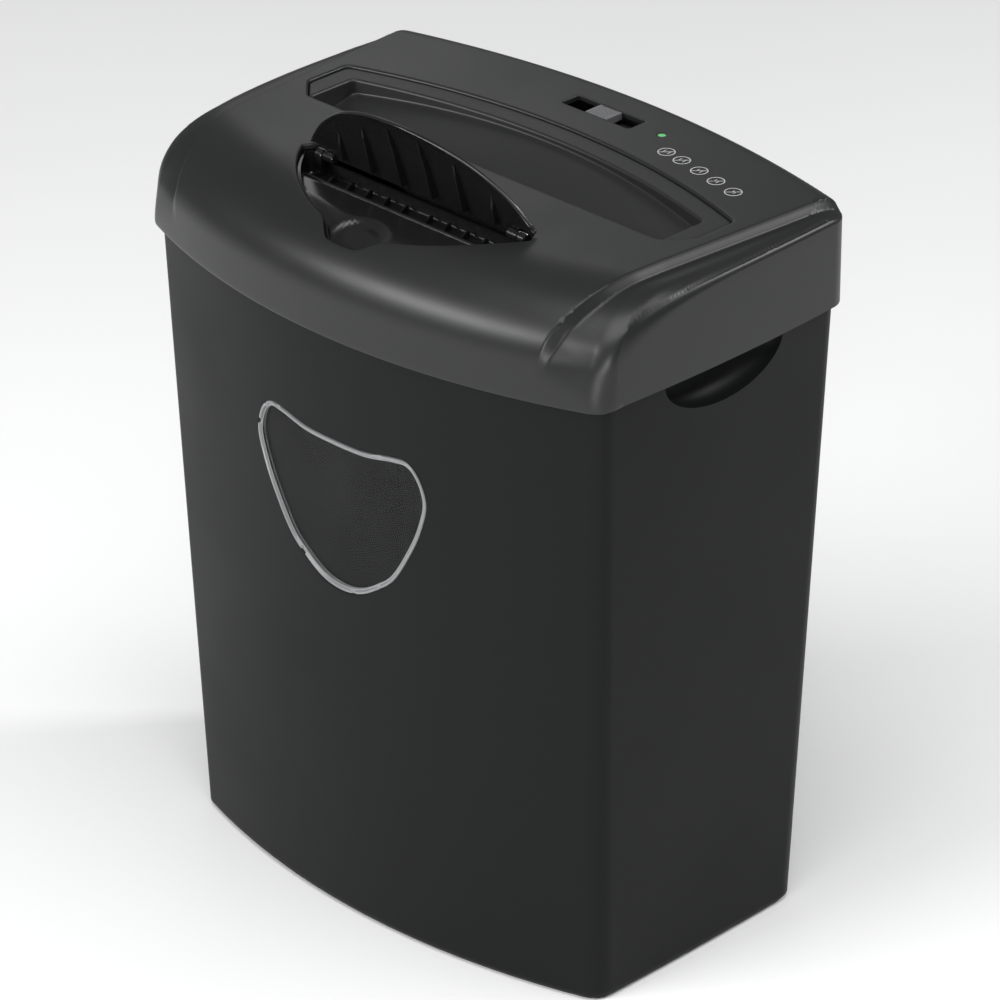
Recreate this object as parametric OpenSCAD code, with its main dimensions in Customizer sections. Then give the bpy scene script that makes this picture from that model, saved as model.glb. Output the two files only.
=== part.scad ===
// Cross-cut paper and disc shredder: a drive head that lifts off a tapered waste bin.
// Millimetres, +Z up, the front faces -Y. The origin is on the floor, under the middle of the head.

/* [Overall] */
// Width over the head's bowed sides
head_w = 306; // [296:1:330]
// Depth over the head's bowed front and rear
head_d = 217; // [212:1:235]
// Height of the whole machine
total_h = 377; // [330:1:420]
// Height of the head above the seam with the bin
head_h = 53; // [52:1:60]

/* [Head shell] */
// Wall of the moulded head
head_wall = 2.5; // [2:0.1:3.5]
// Bow of the head's front in plan
bow_front = 31; // [24:1:36]
// Bow of the head's rear in plan
bow_rear = 21; // [15:1:26]
// Bow of each side in plan
bow_side = 3; // [2:0.5:5]
// Radius of the head's upright corners
head_corner_r = 14; // [12:0.5:18]
// How far back the front rounding reaches
nose_run = 45; // [38:1:50]
// How far down the front rounding reaches
nose_drop = 34; // [28:1:38]
// Radius of the side and rear top edges
top_edge_r = 9; // [6:0.5:10]
// Drop from the raised middle to the shoulders
shoulder_drop = 4.5; // [3:0.5:6]
// Half width of the raised middle
middle_half_w = 138; // [134:1:140]

/* [Bin] */
// Width of the bin at the floor
base_w = 276; // [262:1:284]
// Depth of the bin at the floor
base_d = 179; // [170:1:190]
// How far the base lies behind the head's middle
base_shift = 2.5; // [0:0.5:5]
// Wall of the bin
bin_wall = 2.4; // [2:0.1:3.2]
// Floor of the bin
bin_floor = 3; // [2.5:0.1:4]
// How far the bin stands inside the head's outline
bin_step = 3.1; // [3:0.1:4]
// How far the bin's rim reaches into the head
rim_lap = 6; // [4:0.5:8]
// Half length of each hand scoop
scoop_half_l = 40; // [34:1:44]
// Depth of each hand scoop below the seam
scoop_h = 21; // [18:1:24]
// How far each hand scoop goes into the side
scoop_in = 15; // [12:0.5:16]

/* [Window] */
// Width of the viewing window
window_w = 113; // [100:1:124]
// Height of the viewing window
window_h = 86; // [76:1:94]
// Height of the window's middle above the floor
window_z = 229; // [215:1:245]
// Width of the window's rim
window_rim = 3; // [2.5:0.5:4]

/* [Paper feed] */
// Half width of the paper throat
throat_half_w = 111; // [108:0.5:112]
// Gap of the paper throat at its mouth
throat_gap = 6; // [5:0.5:7]
// Half width of the recessed paper well
well_half_w = 127; // [122:1:130]
// How far the well reaches behind the throat
well_reach = 60; // [50:1:64]

/* [Disc feed] */
// How far the disc slot lies in front of the paper throat
disc_slot_y = 55; // [53:1:57]
// Half width of the disc slot
disc_half_w = 62.5; // [61:0.5:64]
// Gap of the disc slot
disc_gap = 5.4; // [5:0.2:6]
// Angle that the disc flap stands open at rest
flap_open = 72; // [60:1:90]
// Thickness of the disc flap
flap_t = 2; // [1.6:0.1:2.4]
// Radius of the flap's hinge pins
flap_pin_r = 1.5; // [1.2:0.1:1.8]

/* [Cutters] */
// Distance between the two cutter shafts
shaft_gap = 35; // [34:0.5:36]
// How far the cutter shafts lie below the top
shaft_below_top = 51; // [50:0.5:53]
// Radius over the cutting discs' teeth
disc_r = 20.5; // [20:0.1:21]
// Radius of the spacer hubs
hub_r = 12; // [10:0.5:13]
// Thickness of each cutting disc
disc_t = 3.8; // [3.4:0.1:3.9]
// Distance from one disc to the next on a shaft
disc_pitch = 8; // [8:0.1:8.4]
// Number of discs on a shaft
disc_count = 27; // [25:1:27]
// Radius of the shafts' journals
journal_r = 5; // [4.5:0.1:5.5]
// Radial clearance of every running fit
run_gap = 0.05; // [0.02:0.01:0.08]

/* [Frame] */
// Half distance between the two side plates' inner faces
frame_half_w = 112; // [112:0.5:113]
// Thickness of the steel side plates
plate_t = 2; // [1.6:0.1:2.4]
// Radius of the tie rods
tie_r = 3; // [2.5:0.1:3.5]

/* [Motor] */
// Radius of the motor can
can_r = 23; // [20:0.5:24]
// Length of the motor can
can_l = 66; // [58:1:70]
// Radius of the motor shaft
motor_shaft_r = 2.5; // [2:0.1:2.5]

/* [Details] */
// Radius of the cord inlet's bore
cord_bore_r = 3.6; // [3:0.1:4]
// Travel of the mode switch to either side
switch_travel = 6; // [5:0.5:7]
// Travel of the bin interlock plunger
plunger_travel = 3; // [2:0.5:4]
// Clearance between pieces that only sit together
seat_gap = 0.3; // [0.2:0.05:0.4]

/* [Hidden] */
seam_z = total_h - head_h;
rim_z = seam_z + rim_lap;
top_z = total_h;
shoulder_z = top_z - shoulder_drop;
front_y = -head_d / 2;
rear_y = head_d / 2;
smooth = 48;
shaft_z = top_z - shaft_below_top;
// The two feeds meet over the line where the cutters meet.
nip_y = -disc_slot_y / 2 + 1.5;
front_shaft_y = nip_y - shaft_gap / 2;
rear_shaft_y = nip_y + shaft_gap / 2;

// Plan outlines are made of four large arcs joined by four corner arcs.
// A plan is [width, depth, middle y, front bow, rear bow, side bow, corner radius].
head_plan = [head_w, head_d, 0, bow_front, bow_rear, bow_side, head_corner_r];
bin_top_plan = [head_w - 2 * bin_step, head_d - 2 * bin_step, 0,
                bow_front, bow_rear, bow_side, head_corner_r - bin_step];
bin_base_plan = [base_w, base_d, base_shift, bow_front - 7, bow_rear - 5, bow_side - 2, 13];

function arc_radius(half, bow) = (half * half + bow * bow) / (2 * bow);
function angle_of(v) = atan2(v.y, v.x);
function arc_points(c, r, a0, a1, n) =
    [for (i = [0:n - 1]) c + r * [cos(a0 + (a1 - a0) * i / n), sin(a0 + (a1 - a0) * i / n)]];
// The crossing of two circles that lies to the left of the line from a to b.
function circles_meet(a, ra, b, rb) =
    let (d = norm(b - a), u = (b - a) / d, m = (ra * ra - rb * rb + d * d) / (2 * d))
    a + u * m + [-u.y, u.x] * sqrt(ra * ra - m * m);

function plan_points(plan, inset) =
    let (
        hw = plan[0] / 2, yf = plan[2] - plan[1] / 2, yr = plan[2] + plan[1] / 2,
        rf = arc_radius(hw - plan[5], plan[3]), rr = arc_radius(hw - plan[5], plan[4]),
        side_half = (yr - plan[4] - yf - plan[3]) / 2,
        rs = arc_radius(side_half, plan[5]), rc = plan[6],
        cf = [0, yf + rf], cr = [0, yr - rr], cs = [hw - rs, (yf + plan[3] + yr - plan[4]) / 2],
        pf = circles_meet(cf, rf - rc, cs, rs - rc), pr = circles_meet(cs, rs - rc, cr, rr - rc),
        a1 = angle_of(pf - cf), a2 = angle_of(pf - cs), a3 = angle_of(pr - cs), a4 = angle_of(pr - cr),
        flip = [-1, 1], ri = rc - inset
    )
    concat(
        arc_points(cf, rf - inset, -180 - a1, a1, 16),
        arc_points(pf, ri, a1, a2, 6),
        arc_points(cs, rs - inset, a2, a3, 5),
        arc_points(pr, ri, a3, a4, 6),
        arc_points(cr, rr - inset, a4, 180 - a4, 12),
        arc_points([-pr.x, pr.y], ri, 180 - a4, 180 - a3, 6),
        arc_points([-cs.x, cs.y], rs - inset, 180 - a3, 180 - a2, 5),
        arc_points([-pf.x, pf.y], ri, 180 - a2, 180 - a1, 6)
    );
function mix(a, b, k) = a + (b - a) * k;
function bin_ring(z, inset) = at_height(plan_points(mix(bin_base_plan, bin_top_plan, z / rim_z), inset), z);
function at_height(points, z) = [for (p = points) [p.x, p.y, z]];

// A closed solid through rings with the same number of points, lowest ring first.
module loft(rings) {
    n = len(rings[0]);
    last = len(rings) - 1;
    polyhedron(
        points = [for (ring = rings) each ring],
        faces = concat(
            [[for (i = [0:n - 1]) i]],
            [[for (i = [0:n - 1]) last * n + n - 1 - i]],
            [for (k = [0:last - 1], i = [0:n - 1])
                [k * n + i, (k + 1) * n + i, (k + 1) * n + (i + 1) % n, k * n + (i + 1) % n]]
        )
    );
}
// Children drawn in XY stand in the YZ plane, and their height runs along +X.
module along_x(x, y = 0, z = 0) translate([x, y, z]) rotate([90, 0, 90]) children();
module rod_x(x0, x1, y, z, r) along_x(x0, y, z) cylinder(h = x1 - x0, r = r, $fn = smooth);
module rod_z(x, y, z0, z1, r) translate([x, y, z0]) cylinder(h = z1 - z0, r = r, $fn = smooth);
module rod_y(x, z, y0, y1, r) translate([x, y0, z]) rotate([-90, 0, 0])
    cylinder(h = y1 - y0, r = r, $fn = smooth);
// A profile of [y, z] points drawn along X.
module yz_prism(x0, x1, points) along_x(x0) linear_extrude(x1 - x0) polygon(points);
module block(low, high) translate(low) cube(high - low);
module both_sides() {
    children();
    mirror([1, 0, 0]) children();
}

// ---------------------------------------------------------------- bin

module bin_solid(inset, z0, z1, foot) {
    loft([bin_ring(z0, inset + foot), bin_ring(z0 + foot * 0.3, inset + foot * 0.3),
          bin_ring(z0 + foot, inset), bin_ring(z1, inset)]);
}
scoop_y = 5;
module scoop(grow) {
    side_x = head_w / 2 - bin_step;
    translate([side_x, scoop_y, seam_z])
        hull() scale([scoop_in + grow, scoop_half_l + grow, scoop_h + grow]) sphere(1, $fn = 32);
}
// The window's outline: two round shoulders, a shallow dip between them and a round toe.
window_side = [[0.50, 0.27], [0.475, 0.12], [0.42, -0.05], [0.315, -0.28], [0.215, -0.395], [0.11, -0.475]];
window_top = [[0.47, 0.41], [0.41, 0.49], [0.32, 0.49], [0.17, 0.455]];
function window_half() = concat([[0, -0.5]], [for (i = [5:-1:0]) window_side[i]], window_top, [[0, 0.45]]);
function window_loop() = let (h = window_half()) concat(h, [for (i = [len(h) - 2:-1:1]) [-h[i].x, h[i].y]]);
function spline_at(p, i, t) =
    let (n = len(p), a = p[(i + n - 1) % n], b = p[i], c = p[(i + 1) % n], d = p[(i + 2) % n])
    0.5 * (2 * b + (c - a) * t + (2 * a - 5 * b + 4 * c - d) * t * t + (3 * b - a - 3 * c + d) * t * t * t);
function window_points() =
    let (p = window_loop())
    [for (i = [0:len(p) - 1], t = [0, 0.5]) let (q = spline_at(p, i, t)) [q.x * window_w, q.y * window_h]];
// A prism through the front wall with the window's outline, grown or shrunk about its middle.
module window_prism(grow) {
    k = [(window_w + 2 * grow) / window_w, (window_h + 2 * grow) / window_h];
    points = [for (p = window_points()) [p.x * k.x, p.y * k.y]];
    translate([0, front_y / 2, window_z]) rotate([90, 0, 0]) linear_extrude(-front_y) polygon(points);
}
module bin() color("#2b2c2d") {
    difference() {
        union() {
            difference() {
                bin_solid(0, 0, rim_z, 3);
                bin_solid(bin_wall, bin_floor, rim_z + 1, 3);
            }
            intersection() {
                both_sides() scoop(bin_wall);
                bin_solid(bin_wall / 2, bin_floor, rim_z, 3);
            }
        }
        both_sides() scoop(0);
        window_prism(0);
    }
    // Rib on the inside that works the interlock plunger.
    block(
        [-head_w / 2 + bin_step + bin_wall, plunger_y - 4, rib_top_z - 24],
        [plunger_x + 4, plunger_y + 4, rib_top_z]
    );
}
// The window's outline laid on the bin's front, scaled by k about its middle and moved out by proud.
function on_front(x, z, proud) =
    let (plan = mix(bin_base_plan, bin_top_plan, z / rim_z), r = arc_radius(plan[0] / 2 - plan[5], plan[3]))
    [x, plan[2] - plan[1] / 2 + r - sqrt(pow(r + proud, 2) - x * x), z];
function window_ring(k, proud) =
    let (p = window_points(), s = 1 - 2 * seat_gap / window_h)
    [for (i = [len(p) - 1:-1:0]) on_front(p[i].x * k * s, window_z + p[i].y * k * s, proud)];
module bin_window() color([0.75, 0.78, 0.8, 0.35]) {
    edge = 1 - 2 * window_rim / window_h;
    loft([
        window_ring(0.2, -0.4), window_ring(edge - 0.02, -0.4), window_ring(edge, 0.7), window_ring(0.99, 0.7),
        window_ring(1, 0), window_ring(1, -bin_wall), window_ring(0.2, -bin_wall),
    ]);
}

// ---------------------------------------------------------------- head shell

guide_t = 1.8;
switch_y = 80;
switch_half = 22;
switch_deep = 4;

nose_r = arc_radius(head_w / 2 - bow_side, bow_front);
// The solid behind the bowed, rounded front, turned about the middle of the front's large arc.
module nose(inset, z0, z1) {
    run = nose_run - inset;
    drop = nose_drop - inset - (top_z - z1 - inset);
    rim = nose_r - inset;
    steps = 9;
    curve = [
        for (i = [0:steps]) [rim - run * (1 - cos(90 * i / steps)), z1 - drop * (1 - sin(90 * i / steps))]
    ];
    translate([0, front_y + nose_r, 0]) rotate([0, 0, -120])
        rotate_extrude(angle = 60, $fn = 180)
            polygon(concat([[nose_r - head_d - 20, z0], [rim, z0]], curve, [[nose_r - head_d - 20, z1]]));
}
// The head's outer form: upright sides, a long rounding in front and short ones at the sides and rear.
module rounded_plan(inset, z0, z1) {
    edge = top_edge_r;
    top_plan = [head_w - 2 * edge, head_d - nose_run - edge, (nose_run - edge) / 2,
                bow_front, bow_rear, bow_side, head_corner_r];
    low = plan_points(head_plan, inset);
    high = plan_points(top_plan, 0);
    drop = [for (i = [0:len(low) - 1])
        let (f = max(0, high[i].y - low[i].y) / nose_run)
        mix(edge, nose_drop - (top_z - z1 - inset), pow(f, 4)) - inset];
    loft(concat([at_height(low, z0)],
        [for (a = [0:15:90])
            [for (i = [0:len(low) - 1])
                let (p = mix(low[i], high[i], 1 - cos(a))) [p.x, p.y, z1 - drop[i] * (1 - sin(a))]]]));
}
// The raised middle: upright sides below, a sloping step above the shoulders, a little wider behind.
module middle_slab(inset, z0, z1) {
    slope = shoulder_drop * 0.8;
    front_w = middle_half_w - 5 - inset;
    rear_w = middle_half_w + 5 - inset;
    along = [[-front_w, front_y - 5], [front_w, front_y - 5], [rear_w, rear_y + 5], [-rear_w, rear_y + 5]];
    wide = [for (p = along) [p.x + sign(p.x) * slope, p.y]];
    loft([at_height(wide, z0), at_height(wide, shoulder_z - inset - 0.2), at_height(along, z1 + 0.5)]);
}
module head_solid(inset, z0) {
    intersection() {
        rounded_plan(inset, z0, top_z - inset);
        middle_slab(inset, z0, top_z - inset);
    }
    rounded_plan(inset, z0, shoulder_z - inset);
}
// The well's outline on top: straight in front, bowed behind.
well_front_y = -throat_gap / 2 - guide_t - seat_gap;
well_bow = 22;
module well_outline(inset) {
    half = well_half_w - inset;
    rear = well_front_y + well_reach - inset;
    r = arc_radius(well_half_w, well_bow);
    c = [0, rear - r];
    a = acos(half / r);
    front = throat_half_w + 4 - inset;
    polygon(concat(
        [[-front, well_front_y + inset], [front, well_front_y + inset], [half, well_front_y + 14]],
        arc_points(c, r, a, 180 - a, 16),
        [[-half, c.y + r * sin(a)], [-half, well_front_y + 14]]
    ));
}
// The boat-shaped opening over the disc slot, and the finger notch in front of it.
boat_half = 75;
boat_rear_y = -disc_slot_y + 15.8;
boat_tip_y = boat_rear_y - 8;
boat_front_y = boat_rear_y - 49.8;
ear_out = 70;
module boat_outline(inset) {
    half = boat_half - inset * 1.6;
    r = arc_radius(half, boat_tip_y - boat_front_y - inset);
    c = [0, boat_front_y + inset + r];
    a = asin(half / r);
    polygon(concat([[-ear_out + inset, boat_rear_y - inset]], arc_points(c, r, -90 - a, -90 + a, 20),
        [[half, boat_tip_y], [ear_out - inset, boat_rear_y - inset]]));
}
notch_half = 19;
notch_front_y = boat_front_y - 7;
module notch(inset, z0, z1) {
    r = notch_half - inset;
    translate([0, notch_front_y + notch_half, z0]) cylinder(h = z1 - z0, r = r, $fn = smooth);
}
// Screw bosses: x, y and how far the boss's root lies below the top.
boss_places = [[-139, -58, 10], [139, -58, 10], [-40, -90, 11.6], [40, -90, 11.6],
               [-134, 78, 1.5], [134, 78, 1.5], [-44, 93, 1.5], [44, 93, 1.5]];
boss_r = 4.2;
screw_hole_r = 1.5;
flange_z = rim_z + seat_gap;
flange_t = 2.5;
module upper_housing() color("#303133") {
    difference() {
        union() {
            difference() {
                head_solid(0, seam_z);
                head_solid(head_wall, seam_z - 1);
                translate([0, 0, top_z - 20]) linear_extrude(30) well_outline(0);
                translate([0, 0, top_z - 30]) linear_extrude(40) boat_outline(0);
                notch(0, top_z - 30, top_z + 10);
            }
            block(
                [-switch_half - 2.5, switch_y - 8.5, top_z - switch_deep - 2.5],
                [switch_half + 2.5, switch_y + 8.5, top_z - 1]
            );
            for (p = boss_places)
                translate([p.x, p.y, flange_z + flange_t])
                    cylinder(h = top_z - p.z - flange_z - flange_t, r = boss_r, $fn = smooth);
        }
        for (p = boss_places)
            translate([p.x, p.y, flange_z]) cylinder(h = 22, r = screw_hole_r, $fn = smooth);
        switch_cut();
        led_cut();
        inlet_cut();
    }
}

// ---------------------------------------------------------------- lower housing

tub_half_w = 130;
tub_front_y = -76;
tub_rear_y = 82;
tub_z = seam_z - 40;
tub_wall = 2.4;
outlet_half = 110;
outlet_front_y = nip_y - 38;
outlet_rear_y = nip_y + 38;
module lower_housing() color("#1f2021") {
    difference() {
        union() {
            translate([0, 0, flange_z]) linear_extrude(flange_t)
                polygon(plan_points(head_plan, head_wall + seat_gap));
            block([-tub_half_w, tub_front_y, tub_z], [tub_half_w, tub_rear_y, flange_z + flange_t]);
        }
        block([-tub_half_w + tub_wall, tub_front_y + tub_wall, tub_z + tub_wall],
              [tub_half_w - tub_wall, tub_rear_y - tub_wall, flange_z + 10]);
        block([-outlet_half, outlet_front_y, tub_z - 1], [outlet_half, outlet_rear_y, tub_z + 5]);
        for (p = boss_places)
            translate([p.x, p.y, flange_z - 1]) cylinder(h = 10, r = 1.9, $fn = smooth);
        rod_z(plunger_x, plunger_y, flange_z - 1, flange_z + 10, plunger_r + 0.2);
        for (p = frame_screw_places) rod_z(p.x, p.y, tub_z - 1, tub_z + 5, 1.8);
    }
    for (p = board_screw_places) difference() {
        rod_z(p.x, p.y, tub_z + 1, board_z - seat_gap, 3);
        rod_z(p.x, p.y, board_z - 9, board_z, 1.2);
    }
}

// ---------------------------------------------------------------- feed chutes

ledge_w = 12;
ledge_z = top_z - 1.2;
funnel_z = top_z - 14;
guide_end_z = shaft_z + 19;
guide_outer_z = shaft_z + disc_r + 4.5;
guide_half = frame_half_w - 0.5;
well_rear_y = well_front_y + well_reach;
// A bent guide plate: its face runs down from the mouth and then slants to its end. Side is the way
// its back lies along Y, and rise whether its slanted back lies above or below its face.
module guide(half, mouth, bend, end, side, rise) {
    back = [side, rise] * guide_t * 0.7;
    upright = [side * guide_t, 0];
    corner = bend + upright + [0, rise * guide_t * 0.4];
    yz_prism(-half, half, [mouth, bend, end, end + back, corner, mouth + upright]);
}
module well_core(inset, z0, z1) translate([0, 0, z0]) linear_extrude(z1 - z0) well_outline(inset);
module paper_chute() color("#232425") {
    far = well_rear_y - ledge_w;
    slope = [[throat_gap / 2, funnel_z], [far, top_z - 3.4]];
    under = [0, -guide_t - 0.4];
    difference() {
        union() {
            well_core(seat_gap, ledge_z - 2.4, ledge_z);
            intersection() {
                well_core(ledge_w - guide_t, top_z - 40, ledge_z - 0.5);
                yz_prism(-well_half_w, well_half_w, [slope[0] + under, slope[1] + under,
                    [far + 5, ledge_z], [throat_gap / 2, ledge_z]]);
            }
        }
        intersection() {
            well_core(ledge_w, top_z - 40, top_z + 1);
            yz_prism(
                -well_half_w, well_half_w,
                [slope[0], slope[1], [well_rear_y, top_z + 2], [throat_gap / 2, top_z + 2]]
            );
        }
        block([-throat_half_w, -throat_gap / 2, top_z - 40], [throat_half_w, throat_gap / 2, top_z + 1]);
    }
    front_wall_y = -throat_gap / 2;
    guide(guide_half, [front_wall_y, ledge_z], [front_wall_y, top_z - 11], [nip_y + 1.5, guide_end_z], -1, 1);
    guide(
        guide_half,
        [throat_gap / 2, funnel_z], [throat_gap / 2, funnel_z - 0.5], [rear_shaft_y, guide_outer_z],
        1, -1
    );
    both_sides() block(
        [throat_half_w, front_wall_y - guide_t, plate_top_z + 1],
        [throat_half_w + guide_t, throat_gap / 2 + guide_t, ledge_z]
    );
}

pan_z = top_z - 14;
pan_t = 1.8;
lip_z = top_z - 7;
hinge_y = boat_rear_y - 3.8;
hinge_z = top_z - 3.2;
ear_in = 64.3;
ear_t = 4.4;
disc_y = -disc_slot_y;
// The faces that a disc runs between, from the lip to the cutters.
disc_rear = [[disc_y + disc_gap / 2, lip_z], [disc_y + disc_gap / 2, lip_z - 2], [nip_y - 1.5, guide_end_z]];
disc_front = [
    [disc_y - disc_gap / 2, lip_z],
    [disc_y - disc_gap / 2, lip_z - 4],
    [front_shaft_y - 2, guide_outer_z + 1],
];
module boat_core(inset, z0, z1) translate([0, 0, z0]) linear_extrude(z1 - z0) boat_outline(inset);
module disc_chute() color("#141415") {
    difference() {
        union() {
            intersection() {
                difference() {
                    union() {
                        boat_core(seat_gap, pan_z - pan_t, top_z);
                        notch(seat_gap, pan_z - pan_t, top_z);
                    }
                    boat_core(seat_gap + pan_t, pan_z, top_z + 1);
                    notch(seat_gap + pan_t, pan_z, top_z + 1);
                }
                nose(1, pan_z - 20, top_z - 2.8);
            }
            block(
                [-disc_half_w - pan_t, disc_y - disc_gap / 2 - pan_t, pan_z - 1],
                [disc_half_w + pan_t, disc_y + disc_gap / 2 + pan_t, lip_z]
            );
            both_sides() block([ear_in, hinge_y - 3, pan_z - 1], [ear_in + ear_t, hinge_y + 3, top_z - 0.3]);
        }
        yz_prism(-disc_half_w, disc_half_w, [disc_front[0] + [0, 9], disc_front[1], disc_front[2],
            disc_rear[2], disc_rear[1], disc_rear[0] + [0, 9]]);
        both_sides() rod_x(ear_in - 1, ear_in + ear_t + 1, hinge_y, hinge_z, flap_pin_r + run_gap);
        block([-ear_in, hinge_y + 1.5, hinge_z - 4.5], [ear_in, boat_rear_y + 1, top_z + 1]);
    }
    guide(disc_half_w + pan_t, disc_rear[0], disc_rear[1], disc_rear[2], 1, 1);
    guide(disc_half_w + pan_t, disc_front[0], disc_front[1], disc_front[2], -1, -1);
}
flap_ribs = [10, 30, 50];
module flap_closed() {
    intersection() {
        difference() {
            nose(0, pan_z - 10, top_z);
            nose(flap_t, pan_z - 11, top_z - flap_t);
        }
        difference() {
            boat_core(0.7, pan_z - 12, top_z + 1);
            block([-200, hinge_y + 1.6, pan_z - 20], [200, 0, top_z + 5]);
            both_sides() block([ear_in - 0.6, hinge_y - 4.2, pan_z - 20], [200, 0, top_z + 5]);
        }
    }
    both_sides() rod_x(ear_in - 6, ear_in - 0.4, hinge_y, hinge_z, 2.6);
    both_sides() rod_x(ear_in - 1, ear_in + ear_t - 0.4, hinge_y, hinge_z, flap_pin_r);
    intersection() {
        both_sides() for (x = flap_ribs)
            block([x - 0.6, boat_front_y, top_z - 6], [x + 0.6, hinge_y - 1, top_z - flap_t + 0.3]);
        boat_core(6, pan_z - 12, top_z + 1);
        nose(flap_t / 2, pan_z - 11, top_z - flap_t / 2);
    }
}
module disc_flap() color("#17181a")
    translate([0, hinge_y, hinge_z]) rotate([-flap_open, 0, 0])
        translate([0, -hinge_y, -hinge_z]) flap_closed();

// ---------------------------------------------------------------- controls

knob_half = 7;
stem_half = 3;
module switch_cut() {
    block([-switch_half, switch_y - 6, top_z - switch_deep], [switch_half, switch_y + 6, top_z + 1]);
    block(
        [-stem_half - switch_travel - 0.8, switch_y - 2.5, top_z - 20],
        [stem_half + switch_travel + 0.8, switch_y + 2.5, top_z]
    );
}
module switch_knob() color("#3a3b3d") {
    cap_z = top_z - switch_deep + seat_gap;
    difference() {
        block([-knob_half, switch_y - 5.4, cap_z], [knob_half, switch_y + 5.4, top_z - 0.2]);
        for (x = [-4.5:1.5:4.5]) rod_y(x, top_z - 0.2, switch_y - 6, switch_y + 6, 0.4);
    }
    block([-stem_half, switch_y - 2, top_z - 12], [stem_half, switch_y + 2, cap_z + 0.5]);
}
module switch_body() color("#111213") {
    seat_z = top_z - switch_deep - 2.5 - seat_gap;
    difference() {
        block([-17, switch_y - 7, seat_z - 11], [17, switch_y + 7, seat_z]);
        block(
            [-stem_half - switch_travel - 1, switch_y - 3, top_z - 13],
            [stem_half + switch_travel + 1, switch_y + 3, top_z]
        );
    }
    for (x = [-10, 0, 10]) block([x - 2, switch_y - 0.4, seat_z - 17], [x + 2, switch_y + 0.4, seat_z - 11]);
}
led_x = 38;
led_r = 2;
module led_cut() rod_z(led_x, switch_y, top_z - 10, top_z + 1, led_r + 0.15);
module status_led() color("#57c46a") {
    rod_z(led_x, switch_y, top_z - 6, top_z - 0.4, led_r);
    rod_z(led_x, switch_y, top_z - head_wall - seat_gap - 3.5, top_z - head_wall - seat_gap, led_r + 1);
}
inlet_x = -30;
inlet_z = seam_z + 20;
inlet_barrel_r = 7;
inlet_wall_y = rear_y - inlet_x * inlet_x / (2 * arc_radius(head_w / 2 - bow_side, bow_rear));
module inlet_cut() rod_y(inlet_x, inlet_z, inlet_wall_y - 12, rear_y + 5, inlet_barrel_r + seat_gap);
module cord_inlet() color("#0e0e0f") difference() {
    union() {
        rod_y(inlet_x, inlet_z, inlet_wall_y - 14, inlet_wall_y - 0.8, inlet_barrel_r);
        rod_y(
            inlet_x, inlet_z,
            inlet_wall_y - head_wall - 4.5, inlet_wall_y - head_wall - 1,
            inlet_barrel_r + 3
        );
    }
    rod_y(inlet_x, inlet_z, inlet_wall_y - 20, inlet_wall_y + 5, cord_bore_r);
}

// ---------------------------------------------------------------- cutter block

plate_top_z = shaft_z + 26;
plate_low_z = tub_z + tub_wall + seat_gap;
plate_front_y = nip_y - 44;
left_plate_rear_y = nip_y + 46;
tie_places = [
    [nip_y - 40, shaft_z + 20],
    [nip_y + 40, shaft_z + 20],
    [nip_y - 40, shaft_z - 29],
    [nip_y + 40, shaft_z - 29],
];
tie_end_r = tie_r - 1;
bush_r = journal_r + 2.5;
frame_screw_places = [for (x = [-1, 1], y = [nip_y - 36, nip_y + 36]) [x * (frame_half_w + plate_t + 5), y]];
module plate_holes() {
    for (p = tie_places) rod_x(0, 200, p.x, p.y, tie_end_r + run_gap);
    for (y = [front_shaft_y, rear_shaft_y]) rod_x(0, 200, y, shaft_z, bush_r + run_gap);
}
// Side plate for the right end, with tabs that screw to the tub's floor.
module side_plate(rear) {
    difference() {
        block([frame_half_w, plate_front_y, plate_low_z], [frame_half_w + plate_t, rear, plate_top_z]);
        plate_holes();
        children();
    }
    for (y = [nip_y - 36, nip_y + 36]) difference() {
        block(
            [frame_half_w + 0.5, y - 7, plate_low_z],
            [frame_half_w + plate_t + 9, y + 7, plate_low_z + plate_t]
        );
        rod_z(frame_half_w + plate_t + 5, y, plate_low_z - 1, plate_low_z + 5, 1.4);
    }
}
module left_plate() color("#9a9da0") mirror([1, 0, 0]) side_plate(left_plate_rear_y);
module right_plate() color("#9a9da0") side_plate(motor_at.x + 17) {
    for (p = [middle_at, first_at]) rod_x(0, 200, p.x, p.y, gear_pin_r + run_gap);
    rod_x(0, 200, motor_at.x, motor_at.y, 6.3);
    for (s = [-1, 1]) rod_x(0, 200, motor_at.x + s * 13, motor_at.y, 1.8);
}
module tie_rods() color("#8c8f92") for (p = tie_places) {
    rod_x(-frame_half_w + 0.1, frame_half_w - 0.1, p.x, p.y, tie_r);
    both_sides() rod_x(frame_half_w - 1, frame_half_w + plate_t + 0.7, p.x, p.y, tie_end_r);
}
module shaft_bushes() color("#b98a4a") both_sides() for (y = [front_shaft_y, rear_shaft_y]) difference() {
    union() {
        rod_x(frame_half_w - 0.3, frame_half_w + plate_t + 0.3, y, shaft_z, bush_r);
        rod_x(frame_half_w - 1.2, frame_half_w - 0.2, y, shaft_z, bush_r + 2);
    }
    rod_x(0, 200, y, shaft_z, journal_r + run_gap);
}
hex_r = 8;
shaft_end = frame_half_w - 1.5;
module cutter_shaft(y, x0, x1) {
    rod_x(x0, x1, y, shaft_z, journal_r);
    along_x(-shaft_end, y, shaft_z) cylinder(h = 2 * shaft_end, r = hex_r, $fn = 6);
}
module front_shaft() color("#7d8083") cutter_shaft(front_shaft_y, -sync_x1 - 1, frame_half_w + plate_t + 1);
module rear_shaft() color("#7d8083") cutter_shaft(rear_shaft_y, -sync_x1 - 1, layer_a1 + 1);
hooks = 3;
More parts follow.
